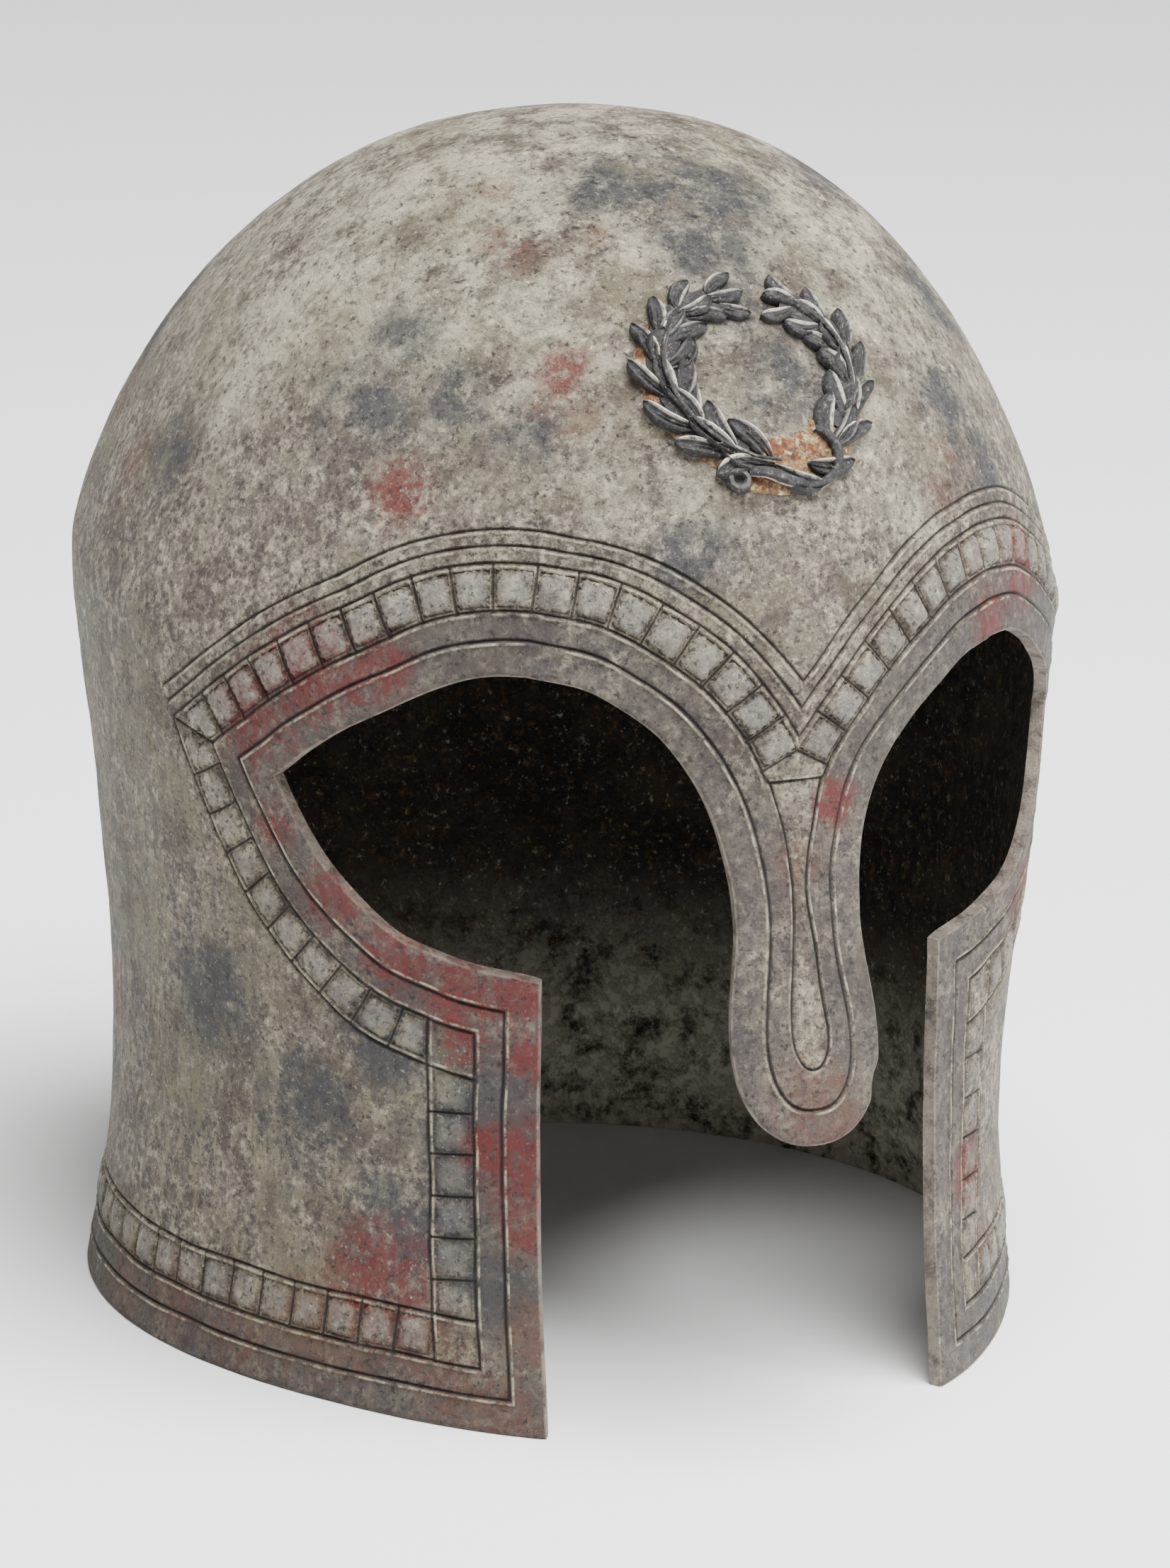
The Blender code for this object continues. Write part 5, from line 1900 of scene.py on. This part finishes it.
@dataclass
class Shot:
    """The camera at the photo's angle, the pale floor and the soft studio light."""

    place: tuple = (-0.7571, -1.5527, 0.6331)
    azimuth: float = math.radians(26.054)
    elevation: float = math.radians(16.729)
    roll: float = math.radians(-2.5615)
    lens: float = 198.7
    shift: tuple = (0.00723, -0.02683)
    nearest: float = 0.05
    lit_place: tuple = (0.0, 0.0, 0.12)
    boxes: tuple = (
        SoftBox("top_box", (0.15, -0.45, 1.7), 1.3, 100.0),
        SoftBox("right_box", (1.5, -0.9, 0.9), 1.0, 32.0),
    )
    light_colour: str = "#ffffff"
    sky_strength: float = 0.42
    floor_reach: float = 6.0
    floor_drop: float = 0.05 * MM
    paper_white: float = 0.9
    paper_roughness: float = 0.9

    def camera(self) -> None:
        """Set the camera up."""
        sin_a, cos_a = math.sin(self.azimuth), math.cos(self.azimuth)
        sin_e, cos_e = math.sin(self.elevation), math.cos(self.elevation)
        ahead = Vector((sin_a * cos_e, cos_a * cos_e, -sin_e))
        right = Vector((cos_a, -sin_a, 0.0))
        above = Vector((sin_a * sin_e, cos_a * sin_e, cos_e))
        sin_r, cos_r = math.sin(self.roll), math.cos(self.roll)
        across = right * cos_r - above * sin_r
        over = right * sin_r + above * cos_r
        data = bpy.data.cameras.new("photo_camera")
        data.lens = self.lens
        data.shift_x, data.shift_y = self.shift
        data.clip_start = self.nearest
        made = bpy.data.objects.new("photo_camera", data)
        turn = Matrix((across, over, -ahead)).transposed().to_4x4()
        made.matrix_world = Matrix.Translation(Vector(self.place)) @ turn
        bpy.context.scene.collection.objects.link(made)
        bpy.context.scene.camera = made

    def light(self, box: SoftBox) -> None:
        """Hang one soft light.

        Args:
            box: the light.
        """
        data = bpy.data.lights.new(box.name, "AREA")
        data.shape = "DISK"
        data.size = box.width
        data.energy = box.power
        data.color = linear(self.light_colour)[:3]
        made = bpy.data.objects.new(box.name, data)
        made.location = box.place
        aim = Vector(self.lit_place) - Vector(box.place)
        made.rotation_euler = aim.to_track_quat("-Z", "Y").to_euler()
        bpy.context.scene.collection.objects.link(made)

    def sky(self) -> None:
        """The even white light all round."""
        world = bpy.data.worlds.new("studio")
        world.use_nodes = True
        sky = world.node_tree.nodes["Background"]
        sky.inputs["Color"].default_value = linear(self.light_colour)
        sky.inputs["Strength"].default_value = self.sky_strength
        bpy.context.scene.world = world

    def floor(self) -> None:
        """The plain pale floor of matt white paper."""
        size = self.floor_reach
        corners = [(-size, -size, 0.0), (size, -size, 0.0), (size, size, 0.0), (-size, size, 0.0)]
        mesh = bpy.data.meshes.new("floor")
        mesh.from_pydata(corners, [], [(0, 1, 2, 3)])
        floor = bpy.data.objects.new("floor", mesh)
        floor.location.z = -self.floor_drop
        paper = bpy.data.materials.new("white_paper")
        paper.use_nodes = True
        shader = paper.node_tree.nodes["Principled BSDF"]
        shader.inputs["Base Color"].default_value = (*[self.paper_white] * 3, 1.0)
        shader.inputs["Roughness"].default_value = self.paper_roughness
        mesh.materials.append(paper)
        bpy.context.scene.collection.objects.link(floor)

    def build(self) -> None:
        """Set up the whole shot."""
        self.camera()
        self.sky()
        for box in self.boxes:
            self.light(box)
        self.floor()


def centred_bowl() -> Bowl:
    """The bowl, shifted so that the middle of its length stands over the origin.

    Returns:
        The bowl, in the row frame.
    """
    plain = Bowl()
    lowest = FaceOpening(plain).nasal_tip_up
    front = [(0.0, up) for up in np.linspace(lowest, 0.24, 400)]
    back = [(plain.half_length, up) for up in np.linspace(0.0, 0.2, 400)]
    ends = plain.place(np.array(front + back))
    return Bowl(shift=-float(ends[:, 1].min() + ends[:, 1].max()) / 2)


def main() -> None:
    """Dress the helmet, piece by piece."""
    logging.basicConfig(level=logging.INFO, format="%(message)s")
    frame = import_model()
    log.info("frame: %s", sorted(frame["nodes"]))
    bowl = centred_bowl()
    border = Border(bowl, FaceOpening(bowl))
    shell = HelmetShell(bowl, border).build(PatinatedBronze().material(), InnerPatina().material())
    log.info("shell: %d faces", len(shell.data.polygons))
    wreath = LaurelWreath(bowl)
    leaves = wreath.build(DarkCastBronze().material())
    crust = WreathCrust(wreath).build(RustyCrust().material())
    log.info("wreath: %d faces, crust: %d", len(leaves.data.polygons), len(crust.data.polygons))
    Shot().build()


if __name__ == "__main__":
    main()
